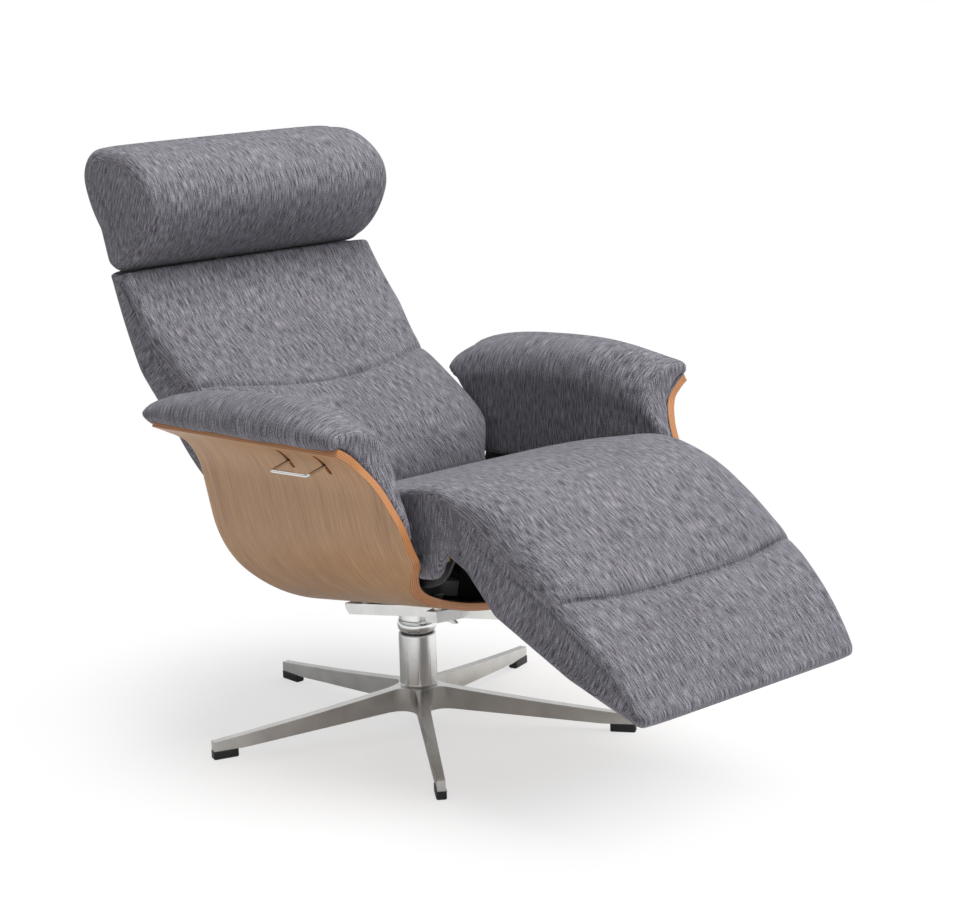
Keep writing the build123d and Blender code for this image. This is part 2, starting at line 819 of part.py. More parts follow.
def make_arm_pad():
    """Right arm pad: lofted along the arm, seated on the plywood and trimmed at both ends."""
    stations = (
        (228.0, pad_inner_x, 462.0, 305.0, 522.0, 543.0, 18.0),
        (150.0, pad_inner_x, 500.0, 305.0, 563.0, 567.0, 24.0),
        (40.0, pad_inner_x, 520.0, 305.0, 582.0, 582.0, 28.0),
        (-90.0, pad_inner_x, 530.0, 306.0, 592.0, 588.0, 29.0),
        (-190.0, pad_inner_x + 5, 512.0, 310.0, 587.0, 582.0, 28.0),
        (-260.0, pad_inner_x + 19, 484.0, 318.0, 566.0, 570.0, 24.0),
        (-330.0, pad_inner_x + 27, 460.0, 324.0, 548.0, 560.0, 21.0),
    )
    body = Solid.make_loft([pad_section(*station) for station in stations])
    back_off = pad_front_setback
    front = FilletPolyline(
        (-318 + back_off, 380),
        (-314 + back_off, 431),
        (-262 + back_off, 518),
        (-256 + back_off, 548),
        (-262 + back_off, 580),
        (-240 + back_off, 640),
        (140, 640),
        (194, 552),
        (194, 520),
        (164, 509),
        (127, 470),
        (127, 380),
        radius=[0, 60, 30, 30, 22, 0, 0, 16, 10, 30, 20, 0],
        close=True,
    )
    side = extrude(side_plane(200) * make_face(front), amount=250)
    body = body & side
    return body - make_shell_space(seat_gap)


def handle_pocket():
    """Room in the near arm pad for the release handle's shaft and bracket."""
    y0 = min(handle_front_y, handle_rear_y) - 20
    y1 = max(handle_front_y, handle_rear_y) + 20
    return block(-345, handle_pivot_x + 16, y0, y1, 492, 552)


# ------------------------------------------------------------------ release handle
def handle_pivot(y):
    """Point of the handle's axis at y."""
    share = (y - handle_rear_y) / (handle_front_y - handle_rear_y)
    bar_z = handle_bar_rear_z + (handle_bar_front_z - handle_bar_rear_z) * share
    return (handle_pivot_x, y, bar_z + handle_leg_rise)


def make_handle():
    """Bent wire loop and the cross shaft that it turns on."""
    r = handle_wire_radius
    rear_bar = (handle_bar_x, handle_rear_y, handle_bar_rear_z)
    front_bar = (handle_bar_x, handle_front_y, handle_bar_front_z)
    path = FilletPolyline(
        handle_pivot(handle_rear_y), rear_bar, front_bar, handle_pivot(handle_front_y), radius=5
    )
    wire = path.wires()[0]
    section = Plane(origin=wire @ 0, z_dir=wire % 0) * Circle(r)
    loop = sweep(section, path=wire)
    shaft = rod(handle_pivot(handle_rear_y + 9), handle_pivot(handle_front_y - 9), handle_shaft_radius)
    return loop + shaft


def make_handle_bracket():
    """Two bearing lugs on the plywood's inner face, tied by a strap."""
    thick = 4.0
    body = None
    for y in (handle_rear_y - 12 - thick, handle_front_y + 12):
        x, _, z = handle_pivot(y + thick / 2)
        lug = extrude(
            Face(
                outline(
                    front_plane(y + thick),
                    (x, z - 10),
                    ((x + 10, z), (x, z + 10)),
                    (x - 44, z + 14),
                    (x - 42, z),
                    (x - 30, z - 15),
                )
            ),
            amount=thick,
            dir=(0, -1, 0),
        )
        body = lug if body is None else body + lug
    x, _, z = handle_pivot((handle_front_y + handle_rear_y) / 2)
    body += block(x - 22, x - 14, handle_front_y + 13, handle_rear_y - 13, z - 12, z - 7)
    body -= rod(handle_pivot(handle_rear_y + 20), handle_pivot(handle_front_y - 20), handle_shaft_radius + running_gap)
    return body - make_shell_space(seat_gap)


# ------------------------------------------------------------------ legrest
def legrest_board_line(y):
    """Height of the legrest's underside at y."""
    return legrest_corner_z + (y - legrest_corner_y) * legrest_underside_slope


def make_legrest_arm():
    """Right hinge arm: from the knee pin along the legrest's board."""
    x1 = side_plate_x - hinge_arm_gap
    x0 = x1 - hinge_arm_thickness
    top = board_thickness + 2 * seat_gap
    arm = side_prism(
        x0,
        x1,
        polar(knee_y, knee_z, 15, 300),
        (polar(knee_y, knee_z, 15, 30), polar(knee_y, knee_z, 15, 120)),
        (-470, legrest_board_line(-470) + top + 34),
        (-640, legrest_board_line(-640) + top + 14),
        (-640, legrest_board_line(-640) + top),
        (-466, legrest_board_line(-466) + top),
    )
    return arm - cross_rod(pivot_pin_radius + running_gap, 150, 300, knee_y, knee_z)


def make_legrest_board(grow=0.0):
    """Board in the legrest's underside."""
    front, rear = legrest_end_y + 26, -456.0
    half = legrest_board_half_width + grow
    return side_prism(
        -half,
        half,
        (rear + grow, legrest_board_line(rear) + seat_gap - 6 * grow),
        (rear + grow, legrest_board_line(rear) + board_thickness + seat_gap + grow),
        (front - grow, legrest_board_line(front) + board_thickness + seat_gap + grow),
        (front - grow, legrest_board_line(front) + seat_gap - 6 * grow),
    )


def make_legrest_cushion():
    """Wedge with a crowned top, one cross seam, and a hollow end round the knee."""
    edge = (
        (knee_y, knee_z),
        (knee_y, knee_z + 22),
        ((-432, 424), (-492, 398)),
        ((-536, 378), (-582, 348)),
        ((-656, 292), (-703, 234)),
        ((-709, 224), (-704, 214)),
        (legrest_corner_y, legrest_corner_z + 1),
        (knee_heel_y, knee_heel_z),
    )
    crown = (
        (knee_y, knee_z),
        (knee_y, knee_z + 50),
        ((-440, 481), (-490, 452)),
        ((-543, 408), (-584, 360)),
        ((-652, 306), (-704, 236)),
        ((-713, 223), (-704, 211)),
        (legrest_corner_y, legrest_corner_z - 2),
        (knee_heel_y, knee_heel_z),
    )
    stations = ((0, 0.0), (14, 0.64), (46, 0.92), (120, 0.99), (legrest_half_width, 1.0))
    body = cushion(legrest_half_width, edge, crown, stations)
    wide, narrow = legrest_half_width + 1, legrest_end_half_width
    tip = legrest_end_y - 10
    plan = FilletPolyline(
        (-wide, -300), (-wide, -590), (-narrow, tip), (narrow, tip), (wide, -590), (wide, -300),
        radius=[0, 80, 24, 24, 80, 0], close=True,
    )
    body = body & extrude(Plane.XY.offset(150) * make_face(plan), amount=400)
    body -= cross_rod(knuckle_radius + upholstery_gap + 0.3, -300, 300, knee_y, knee_z)
    body -= make_legrest_board(upholstery_gap)
    x1 = side_plate_x - hinge_arm_gap + upholstery_gap
    x0 = x1 - hinge_arm_thickness - 2 * upholstery_gap
    top = board_thickness
    slot = side_prism(
        x0,
        x1,
        polar(knee_y, knee_z, 24, 275),
        polar(knee_y, knee_z, 24, 110),
        (-471, legrest_board_line(-471) + top + 38),
        (-643, legrest_board_line(-643) + top + 17),
        (-643, legrest_board_line(-643) + top - 4),
        (-446, legrest_board_line(-446) + top - 4),
    )
    return body - slot - mirrored(slot)


# ------------------------------------------------------------------ back
back_plane = Plane(
    origin=(0, back_pivot_y, back_pivot_z),
    x_dir=(1, 0, 0),
    z_dir=(0, -math.sin(math.radians(back_rake)), math.cos(math.radians(back_rake))),
)


def on_back(along, out):
    """Side-view point given along the back's rake from its pivot and out of it."""
    rake = math.radians(back_rake)
    y = back_pivot_y + along * math.cos(rake) - out * math.sin(rake)
    z = back_pivot_z + along * math.sin(rake) + out * math.cos(rake)
    return (y, z)


def make_back_arm(grow=0.0):
    """Right upright of the back frame, from the pivot eye up behind the board."""
    x1 = side_plate_x - hinge_arm_gap + grow
    x0 = x1 - hinge_arm_thickness - 2 * grow
    eye = 20.0 + grow
    return side_prism(
        x0,
        x1,
        on_back(0, -eye),
        on_back(230, -35 - grow),
        on_back(400 + grow, 5 - grow),
        on_back(400 + grow, 23 + grow),
        on_back(230, -15 + grow),
        on_back(70, -6 + grow),
        on_back(0, eye),
        (on_back(-eye, 0), on_back(0, -eye)),
    )


def rung_places():
    """Along and out positions of the back frame's rungs."""
    return ((112.0, -20.0), (387.0, 14.0))


def slide_point(distance, side=0.0):
    """Point on a headrest post's line, measured down from the tilt axis."""
    rake = math.radians(headrest_slide_rake)
    y = headrest_pivot_y - distance * math.cos(rake)
    z = headrest_pivot_z - distance * math.sin(rake)
    return (side * post_spacing / 2, y, z)


def make_back_frame():
    """Two uprights, two rungs, a strut lever and the sleeves for the headrest's posts."""
    arm = make_back_arm()
    body = arm + mirrored(arm)
    half = side_plate_x - hinge_arm_gap - 1
    for along, out in rung_places():
        body += cross_rod(9.0, -half, half, *on_back(along, out))
    y, z = on_back(*rung_places()[0])
    lever = strut_lever_point()
    for x in (-strut_lug_x - 4, strut_lug_x):
        body += side_prism(
            x,
            x + 4,
            (y - 8, z),
            (lever[0] - 9, lever[1]),
            ((lever[0], lever[1] - 9), (lever[0] + 9, lever[1])),
            (y + 8, z),
        )
    for side in (-1, 1):
        body += rod(
            slide_point(sleeve_drop, side), slide_point(sleeve_drop + sleeve_length, side), post_radius + sleeve_wall
        )
    for side in (-1, 1):
        body -= rod(
            slide_point(sleeve_drop - 20, side),
            slide_point(post_length + 12, side),
            post_radius + running_gap,
        )
    body -= cross_rod(pivot_pin_radius + running_gap, -300, 300, back_pivot_y, back_pivot_z)
    body -= cross_rod(pivot_pin_radius + running_gap, -30, 30, *lever)
    return body


def make_back_board(grow=0.0):
    """Moulded board in front of the frame, bent at the lumbar."""
    half = side_plate_x + 12 + grow
    t = board_thickness
    return side_prism(
        -half,
        half,
        on_back(84 - grow, -7 + seat_gap - grow),
        on_back(230, -15 + seat_gap - grow),
        on_back(340 + grow, 10 + seat_gap - grow),
        on_back(340 + grow, t + 10 + grow),
        on_back(230, t - 15 + grow),
        on_back(84 - grow, t - 7 + grow),
    )


def make_back_cushion():
    """Back: lumbar bulge, seam, upper pad and a rounded lower end about the pivot."""
    edge = (
        polar(back_pivot_y, back_pivot_z, back_knuckle_radius, -60),
        (polar(back_pivot_y, back_pivot_z, back_knuckle_radius, 225), polar(back_pivot_y, back_pivot_z, back_knuckle_radius, 146)),
        ((78, 440), (118, 480)),
        ((170, 512), (228, 546)),
        ((330, 636), (388, 716)),
        ((402, 723), (416, 714)),
        ((380, 620), (310, 495)),
        ((262, 442), (205, 399)),
    )
    crown = (
        polar(back_pivot_y, back_pivot_z, back_knuckle_radius, -60),
        (polar(back_pivot_y, back_pivot_z, back_knuckle_radius, 225), polar(back_pivot_y, back_pivot_z, back_knuckle_radius, 146)),
        ((60, 448), (102, 494)),
        ((160, 532), (222, 563)),
        ((318, 652), (379, 716)),
        ((400, 725), (424, 712)),
        ((396, 612), (322, 484)),
        ((270, 430), (209, 393)),
    )
    stations = ((0, 0.0), (14, 0.62), (48, 0.92), (125, 0.99), (back_half_width, 1.0))
    body = cushion(back_half_width, edge, crown, stations)
    wide, narrow, heel = back_half_width + 1, back_lower_half_width, back_heel_half_width
    plan = FilletPolyline(
        (-heel, -90), (-heel, 14), (-narrow, 52), (-narrow, 268), (-wide, 338), (-wide, 620),
        (wide, 620), (wide, 338), (narrow, 268), (narrow, 52), (heel, 14), (heel, -90),
        radius=[0, 12, 12, 60, 60, 0, 0, 60, 60, 12, 12, 0], close=True,
    )
    body = body & extrude(back_plane * Pos(0, 0, -200) * make_face(plan), amount=400)
    gap = upholstery_gap
    room = make_back_arm(gap)
    body -= room
    body -= mirrored(room)
    body -= make_back_board(gap)
    half = side_plate_x - hinge_arm_gap - 1
    for along, out in rung_places():
        body -= cross_rod(9.0 + gap, -half, half, *on_back(along, out))
    for side in (-1, 1):
        body -= rod(slide_point(20, side), slide_point(post_length + 30, side), post_radius + sleeve_wall + gap)
    slot = hinge_slot(back_pivot_y, back_pivot_z, back_knuckle_radius - 30, 138, 266, back_knuckle_radius + 30)
    body -= slot
    body -= mirrored(slot)
    y, z = on_back(*rung_places()[0])
    lever = strut_lever_point()
    body -= side_prism(
        -20, 20, (y - 26, z + 16), (back_pivot_y - 90, back_pivot_z - 40), (back_pivot_y - 40, back_pivot_z - 110),
        (lever[0] + 60, lever[1] - 20), (y + 26, z - 10),
    )
    return body


# ------------------------------------------------------------------ gas strut
def strut_lever_point():
    """Side-view position of the strut's pin on the back frame."""
    return polar(back_pivot_y, back_pivot_z, strut_lever, strut_lever_angle)


def make_strut_cylinder():
    """Gas strut's cylinder with its front eye."""
    lever = strut_lever_point()
    start, end = Vector(0, strut_front_y, strut_front_z), Vector(0, *lever)
    run = (end - start).normalized()
    length = (end - start).length
    body = rod(tuple(start + run * 24), tuple(start + run * (length * 0.52)), strut_radius)
    body += rod(tuple(start + run * 8), tuple(start + run * 26), strut_rod_radius + 1)
    bore = rod(tuple(start + run * 30), tuple(start + run * (length * 0.6)), strut_rod_radius + running_gap)
    eye = cross_rod(12.0, -7, 7, strut_front_y, strut_front_z)
    hole = cross_rod(pivot_pin_radius + running_gap, -20, 20, strut_front_y, strut_front_z)
    return body + eye - bore - hole


def make_strut_rod():
    """Gas strut's rod with its rear eye."""
    lever = strut_lever_point()
    start, end = Vector(0, strut_front_y, strut_front_z), Vector(0, *lever)
    run = (end - start).normalized()
    length = (end - start).length
    body = rod(tuple(start + run * (length * 0.35)), tuple(end - run * 6), strut_rod_radius)
    eye = cross_rod(11.0, -7, 7, *lever)
    return body + eye - cross_rod(pivot_pin_radius + strut_eye_gap, -20, 20, *lever)


def make_strut_pin(y, z):
    """Headed pin of the strut between its two lugs."""
    reach = strut_lug_x + 4 + seat_gap
    pin = cross_rod(pivot_pin_radius, -reach, reach, y, z)
    return pin + cross_rod(9.0, reach, reach + 2, y, z) + cross_rod(9.0, -reach - 2, -reach, y, z)


# ------------------------------------------------------------------ headrest
def make_headrest_carriage():
    """Two posts joined by the tilt bar."""
    half = post_spacing / 2
    body = cross_rod(8.0, -half - 18, half + 18, headrest_pivot_y, headrest_pivot_z)
    for side in (-1, 1):
        body += rod(slide_point(0, side), slide_point(post_length, side), post_radius)
    return body


def make_headrest_frame(grow=0.0):
    """Two clamps on the tilt bar and the board that carries the pillow."""
    half = post_spacing / 2
    x0, x1 = half + 7.5, half + 17.5
    body = None
    for side in (-1, 1):
        a, b = (x0, x1) if side > 0 else (-x1, -x0)
        clamp = side_prism(
            a - grow,
            b + grow,
            polar(headrest_pivot_y, headrest_pivot_z, 13 + grow, -110),
            (
                polar(headrest_pivot_y, headrest_pivot_z, 13 + grow, -30),
                polar(headrest_pivot_y, headrest_pivot_z, 13 + grow, 40),
            ),
            (headrest_pivot_y + 24 + grow, 815),
            (headrest_pivot_y + 8 - grow, 815),
            polar(headrest_pivot_y, headrest_pivot_z, 13 + grow, 150),
        )
        body = clamp if body is None else body + clamp
    board = side_prism(
        -170 - grow,
        170 + grow,
        (headrest_pivot_y - 6 - grow, 812 - grow),
        (headrest_pivot_y + 28 + grow, 806 - grow),
        (headrest_pivot_y + 44 + grow, 872 + grow),
        (headrest_pivot_y + 32 - grow, 876 + grow),
    )
    body += board
    if grow:
        return body
    return body - cross_rod(8.0 + running_gap, -300, 300, headrest_pivot_y, headrest_pivot_z)


def make_headrest_pillow():
    """Headrest pillow: deep rolled front, heel rounded about the tilt axis, drawn-in ends."""
    y, z, heel = headrest_pivot_y, headrest_pivot_z, headrest_heel_radius
    crown = (
        polar(y, z, heel, 228),
        ((348, 766), (315, 818)),
        ((313, 852), (332, 884)),
        ((382, 914), (452, 920)),
        ((502, 908), (515, 862)),
        ((498, 820), (474, 788)),
        polar(y, z, heel, 318),
        (polar(y, z, heel, 273), polar(y, z, heel, 228)),
    )
    edge = (
        polar(y, z, heel - 3, 231),
        ((364, 773), (332, 820)),
        ((330, 849), (346, 874)),
        ((390, 898), (448, 903)),
        ((490, 892), (501, 858)),
        ((486, 822), (466, 791)),
        polar(y, z, heel - 3, 314),
        (polar(y, z, heel - 3, 272), polar(y, z, heel - 3, 231)),
    )
    stations = ((0, 0.0), (12, 0.58), (44, 0.9), (115, 0.985), (headrest_half_width, 1.0))
    body = cushion(headrest_half_width, edge, crown, stations)
    body -= make_headrest_frame(upholstery_gap)
    half = post_spacing / 2
    body -= cross_rod(8.0 + upholstery_gap, -half - 20, half + 20, y, z)
    for side in (-1, 1):
        x = side * half
        body -= side_prism(
            x - post_radius - 1,
            x + post_radius + 1,
            (y, z + 8),
            polar(y, z, heel + 20, 204),
            polar(y, z, heel + 20, 272),
            (y + 8, z),
        )
    return body


# ------------------------------------------------------------------ pins
def make_pins(y, z):
    """A pair of pivot pins with heads outside the side plates."""
    pins = []
    inner = side_plate_x - hinge_arm_gap - hinge_arm_thickness - 2
    outer = side_plate_x + side_plate_thickness + seat_gap
    pin = cross_rod(pivot_pin_radius, inner, outer, y, z) + cross_rod(9.0, outer, outer + 3, y, z)
    pins.append(pin)
    pins.append(mirrored(pin))
    return Compound(pins)


# ------------------------------------------------------------------ all pieces
def make_parts():
    """Every node of the chair, by name, about the swivel axis."""
    parts = {"star_base": make_star_base()}
    for index in range(arm_count):
        parts[f"floor_glide_{index + 1}"] = make_glide(index)
    parts["base_column"] = make_column()
    parts["column_bushing"] = make_bushing()
    parts["thrust_washer"] = make_thrust_washer()

    parts["swivel_spindle"] = make_spindle()
    parts["swivel_collar"] = make_collar()
    parts["shell_carrier"] = make_carrier()
    parts["plywood_shell"] = make_shell()
    parts["shell_bolts"] = make_shell_bolts()
    parts["mechanism_base"] = make_mechanism_base()
    parts["cross_tube_front"] = make_cross_tube(front_tube_y, front_tube_z)
    parts["cross_tube_rear"] = make_cross_tube(rear_tube_y, rear_tube_z)
    parts["side_plate_left"] = make_side_plate()
    parts["side_plate_right"] = mirrored(parts["side_plate_left"])
    parts["tube_bolts"] = make_tube_bolts()
    parts["knee_pins"] = make_pins(knee_y, knee_z)
    parts["back_pivot_pins"] = make_pins(back_pivot_y, back_pivot_z)
    parts["seat_board"] = make_seat_board()
    parts["seat_cushion"] = make_seat_cushion()
    parts["arm_pad_left"] = make_arm_pad()
    parts["arm_pad_right"] = mirrored(parts["arm_pad_left"]) - handle_pocket()
    parts["handle_bracket"] = make_handle_bracket()
    parts["release_handle"] = make_handle()

    arm = make_legrest_arm()
    parts["legrest_arm_left"] = arm
    parts["legrest_arm_right"] = mirrored(arm)
    parts["legrest_board"] = make_legrest_board()
    parts["legrest_cushion"] = make_legrest_cushion()

    parts["back_frame"] = make_back_frame()
    parts["back_board"] = make_back_board()
    parts["back_cushion"] = make_back_cushion()
    parts["strut_rear_pin"] = make_strut_pin(*strut_lever_point())
    parts["strut_front_pin"] = make_strut_pin(strut_front_y, strut_front_z)
    parts["strut_cylinder"] = make_strut_cylinder()
    parts["strut_rod"] = make_strut_rod()

    parts["headrest_carriage"] = make_headrest_carriage()
    parts["headrest_frame"] = make_headrest_frame()
    parts["headrest_pillow"] = make_headrest_pillow()
    return parts


def main():
    """Build, set down and write every piece."""
    os.makedirs("parts", exist_ok=True)
    for name, shape in make_parts().items():
        export_step(Pos(0, column_y, 0) * shape, f"parts/{name}.step")


if __name__ == "__main__":
    main()
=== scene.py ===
"""Looks of a swivel recliner: star base, moulded oak shell, woven upholstery."""

import logging
import math
from dataclasses import dataclass
from enum import Enum

import bmesh
import bpy
import numpy as np
from bmesh.types import BMEdge, BMesh, BMVert
from bpy.types import Material, Mesh, Node, NodeSocket, NodeTree, Object
from mathutils import Matrix, Vector
from mathutils.bvhtree import BVHTree

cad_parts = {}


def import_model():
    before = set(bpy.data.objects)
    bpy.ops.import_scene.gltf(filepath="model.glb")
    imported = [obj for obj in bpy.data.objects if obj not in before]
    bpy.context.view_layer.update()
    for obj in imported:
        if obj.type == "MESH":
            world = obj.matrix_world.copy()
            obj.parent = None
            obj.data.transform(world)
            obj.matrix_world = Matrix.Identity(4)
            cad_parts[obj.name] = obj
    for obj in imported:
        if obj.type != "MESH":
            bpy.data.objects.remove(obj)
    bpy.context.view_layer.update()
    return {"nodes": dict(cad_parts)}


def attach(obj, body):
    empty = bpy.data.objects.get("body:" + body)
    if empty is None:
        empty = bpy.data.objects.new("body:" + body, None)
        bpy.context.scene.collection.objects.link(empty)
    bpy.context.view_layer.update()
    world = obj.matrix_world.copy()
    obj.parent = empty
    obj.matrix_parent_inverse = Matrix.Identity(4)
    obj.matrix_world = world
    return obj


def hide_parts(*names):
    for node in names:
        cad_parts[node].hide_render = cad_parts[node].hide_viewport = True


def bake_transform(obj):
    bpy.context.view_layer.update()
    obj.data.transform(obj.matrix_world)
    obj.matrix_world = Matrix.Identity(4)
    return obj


log = logging.getLogger("recliner")

MM = 1000  # millimetres in a metre
AXIS_Y = 100.0  # mm, the swivel axis in the frame; the drawing sizes below are about that axis
TINY = 1e-9

Point = tuple[float, float]
Step = Point | tuple[Point, Point]
Noise = tuple[tuple[float, float, float], float, float]  # scales per metre, detail, weight


# ---- small helpers
def place(x: float, y: float, z: float) -> Vector:
    """Frame point in metres of a drawing point in millimetres; the sitter faces -y."""
    return Vector((x / MM, (y + AXIS_Y) / MM, z / MM))


def side_view(co: Vector) -> Point:
    """Drawing point (y, z) in millimetres of a frame point."""
    return (co.y * MM - AXIS_Y, co.z * MM)


def polar(y: float, z: float, radius: float, angle: float) -> Point:
    """Side-view point at an angle in degrees from +y about (y, z)."""
    turn = math.radians(angle)
    return (y + radius * math.cos(turn), z + radius * math.sin(turn))


def linear(colour: str) -> tuple[float, float, float, float]:
    """Turn an sRGB hex colour into linear RGBA.

    Args:
        colour: such as "#7c7a82".

    Returns:
        Linear red, green, blue and an alpha of 1.
    """
    parts = [int(colour[i : i + 2], 16) / 255 for i in (1, 3, 5)]
    light = [p / 12.92 if p <= 0.04045 else ((p + 0.055) / 1.055) ** 2.4 for p in parts]
    return (light[0], light[1], light[2], 1.0)


def wire(tree: NodeTree, node: Node, inputs: dict) -> None:
    """Fill a node's inputs.

    Args:
        tree: the node tree.
        node: the node.
        inputs: socket name or number to a constant, an output, or a node for its first output.
    """
    for key, value in inputs.items():
        if isinstance(value, Node):
            value = value.outputs[0]
        if isinstance(value, NodeSocket):
            tree.links.new(value, node.inputs[key])
        else:
            node.inputs[key].default_value = value


def add(tree: NodeTree, kind: str, inputs: dict | tuple = (), stops: tuple = (), **settings) -> Node:
    """Add a shader node with its settings, inputs and colour stops.

    Args:
        tree: the node tree.
        kind: the node's type name without its "ShaderNode".
        inputs: as wire takes them, or a tuple for the first inputs in order.
        stops: positions from 0 to 1 with sRGB hex colours, for a colour ramp.
        settings: the node's own properties.

    Returns:
        The new node.
    """
    made = tree.nodes.new(f"ShaderNode{kind}")
    for name, value in settings.items():
        setattr(made, name, value)
    wire(tree, made, inputs if isinstance(inputs, dict) else dict(enumerate(inputs)))
    if stops:
        elements = made.color_ramp.elements
        while len(elements) < len(stops):
            elements.new(0.5)
        for element, (position, colour) in zip(elements, stops):
            element.position = position
            element.color = linear(colour)
    return made


def streaks(tree: NodeTree, coords: Node | NodeSocket, layers: tuple[Noise, ...], mean: float = 0.5) -> Node:
    """Add up noises, each stretched by its own scales.

    Args:
        tree: the node tree.
        coords: coordinates in metres.
        layers: scales per metre, detail and weight of each noise.
        mean: mean of the sum.

    Returns:
        The node of the sum.
    """
    total = mean - sum(weight for _, _, weight in layers) / 2
    for scale, detail, weight in layers:
        stretched = add(tree, "Mapping", {"Vector": coords, "Scale": scale})
        noise = add(tree, "TexNoise", {"Vector": stretched, "Scale": 1.0, "Detail": detail})
        total = add(tree, "Math", (noise, weight, total), operation="MULTIPLY_ADD")
    return total


# ---- finishes
class Finish:
    """A surface finish that makes one Blender material."""

    name: str

    def build(self, tree: NodeTree) -> dict:
        """Add the pattern's nodes and return what goes into the Principled BSDF."""
        raise NotImplementedError

    @staticmethod
    def raised(tree: NodeTree, height: Node, depth: float) -> Node:
        """The bump of a height of 0 to 1 that stands so many mm high."""
        return add(tree, "Bump", {"Strength": 1.0, "Distance": depth / MM, "Height": height})

    def material(self) -> Material:
        """The finish's material, made on first use."""
        found = bpy.data.materials.get(self.name)
        if found:
            return found
        made = bpy.data.materials.new(self.name)
        made.use_nodes = True
        tree = made.node_tree
        wire(tree, tree.nodes["Principled BSDF"], self.build(tree))
        return made


@dataclass(frozen=True)
class SlubWeave(Finish):
    """Woven upholstery cloth: thick and thin yarns of mixed greys give streaks, specks and a dull bloom."""

    name: str = "woven slub upholstery cloth"
    yarn: float = 2.4  # mm across; about 1.2 in the real cloth, drawn coarser so that the yarns show
    pick: float = 2.88  # mm along, from one crossing of the weave to the next, as much coarser
    layers: tuple[Noise, ...] = (
        ((610.0, 56.0, 1.0), 1.0, 1.7),  # slubs 1.6 mm across and 18 mm long, twice the real ones
        ((1050.0, 560.0, 1.0), 1.0, 1.5),  # specks of 1 by 2 mm where a crossing yarn shows
        ((270.0, 16.0, 1.0), 0.0, 0.42),  # darker and paler yarns in stripes 4 mm wide, 60 mm long
        ((8.0, 8.0, 1.0), 1.0, 0.14),  # clouds 125 mm across where the nap lies another way
    )

    def build(self, tree: NodeTree) -> dict:
        """Colour the yarns by the streaks, and raise each yarn over and under its neighbours."""
        uv = add(tree, "UVMap", uv_map="cloth")
        across, along, _ = add(tree, "SeparateXYZ", (uv,)).outputs
        tone = streaks(tree, uv, self.layers)
        yarns = add(tree, "Math", (across, self.yarn / MM), operation="DIVIDE")
        turns = add(tree, "Math", (yarns, math.pi), operation="MULTIPLY")
        rib = add(tree, "Math", (add(tree, "Math", (turns,), operation="SINE"),), operation="ABSOLUTE")
        index = add(tree, "Math", (yarns,), operation="FLOOR")
        picks = add(tree, "Math", (along, math.pi / (self.pick / MM)), operation="MULTIPLY")
        phase = add(tree, "Math", (index, math.pi, picks), operation="MULTIPLY_ADD")
        over = add(tree, "Math", (phase,), operation="SINE")
        weave = add(tree, "Math", (over, 0.3, rib), operation="MULTIPLY_ADD")
        half = add(tree, "Math", (weave, 0.5), operation="MULTIPLY")
        height = add(tree, "Math", (tone, 0.35, half), operation="MULTIPLY_ADD")
        stops = ((0.22, "#434148"), (0.4, "#67656c"), (0.56, "#716f76"), (0.92, "#97959d"))
        return {
            "Base Color": add(tree, "ValToRGB", (tone,), stops),
            "Roughness": 0.95,
            "Specular IOR Level": 0.2,
            "Sheen Weight": 0.22,
            "Sheen Roughness": 0.45,
            "Sheen Tint": linear("#cfd2d6"),
            "Normal": self.raised(tree, height, 0.5),
        }


@dataclass(frozen=True)
class SewingThread(Finish):
    """Spun polyester thread: dull pale grey, with painted shade for the grooves between its twisted plies."""

    name: str = "sewing thread"

    def build(self, tree: NodeTree) -> dict:
        """Break the colour by a noise of 0.4 mm, about the pitch of the twisted plies: painted shade in their
        grooves.
        """
        spot = add(tree, "TexCoord").outputs["Object"]
        # painted shade: the darker spots of this noise stand for the shaded grooves between the thread's plies
        twist_shade = add(tree, "TexNoise", {"Vector": spot, "Scale": 2400.0})
        return {
            "Base Color": add(tree, "ValToRGB", (twist_shade,), ((0.3, "#6a686f"), (0.7, "#8f8d95"))),
            "Roughness": 0.8,
        }


@dataclass(frozen=True)
class OakVeneer(Finish):
    """Lacquered oak veneer: warm brown, fine dark pores and growth bands under a satin coat."""

    name: str = "lacquered oak veneer"
    layers: tuple[Noise, ...] = (
        ((900.0, 26.0, 1.0), 1.0, 0.9),  # pores 1.1 mm across and 38 mm long, three times the real ones
        ((260.0, 5.0, 1.0), 2.0, 0.75),  # grain lines 4 mm apart
        ((32.0, 1.2, 1.0), 1.5, 0.4),  # growth bands 30 mm wide
    )

    def build(self, tree: NodeTree) -> dict:
        """Run the grain along the veneer's second coordinate, swaying by some millimetres."""
        uv = add(tree, "UVMap", uv_map="cloth")
        sway = add(tree, "TexNoise", {"Vector": uv, "Scale": 2.4, "Detail": 1.0})
        across, along, _ = add(tree, "SeparateXYZ", (uv,)).outputs
        swayed = add(tree, "Math", (sway, 12 / MM, across), operation="MULTIPLY_ADD")
        tone = streaks(tree, add(tree, "CombineXYZ", (swayed, along)), self.layers)
        stops = ((0.1, "#7f5a38"), (0.42, "#9e744b"), (0.62, "#aa8055"), (0.95, "#c09a6f"))
        return {
            "Base Color": add(tree, "ValToRGB", (tone,), stops),
            "Roughness": 0.42,
            "Specular IOR Level": 0.45,
            "Coat Weight": 0.25,
            "Coat Roughness": 0.3,
            "Normal": self.raised(tree, tone, 0.18),
        }


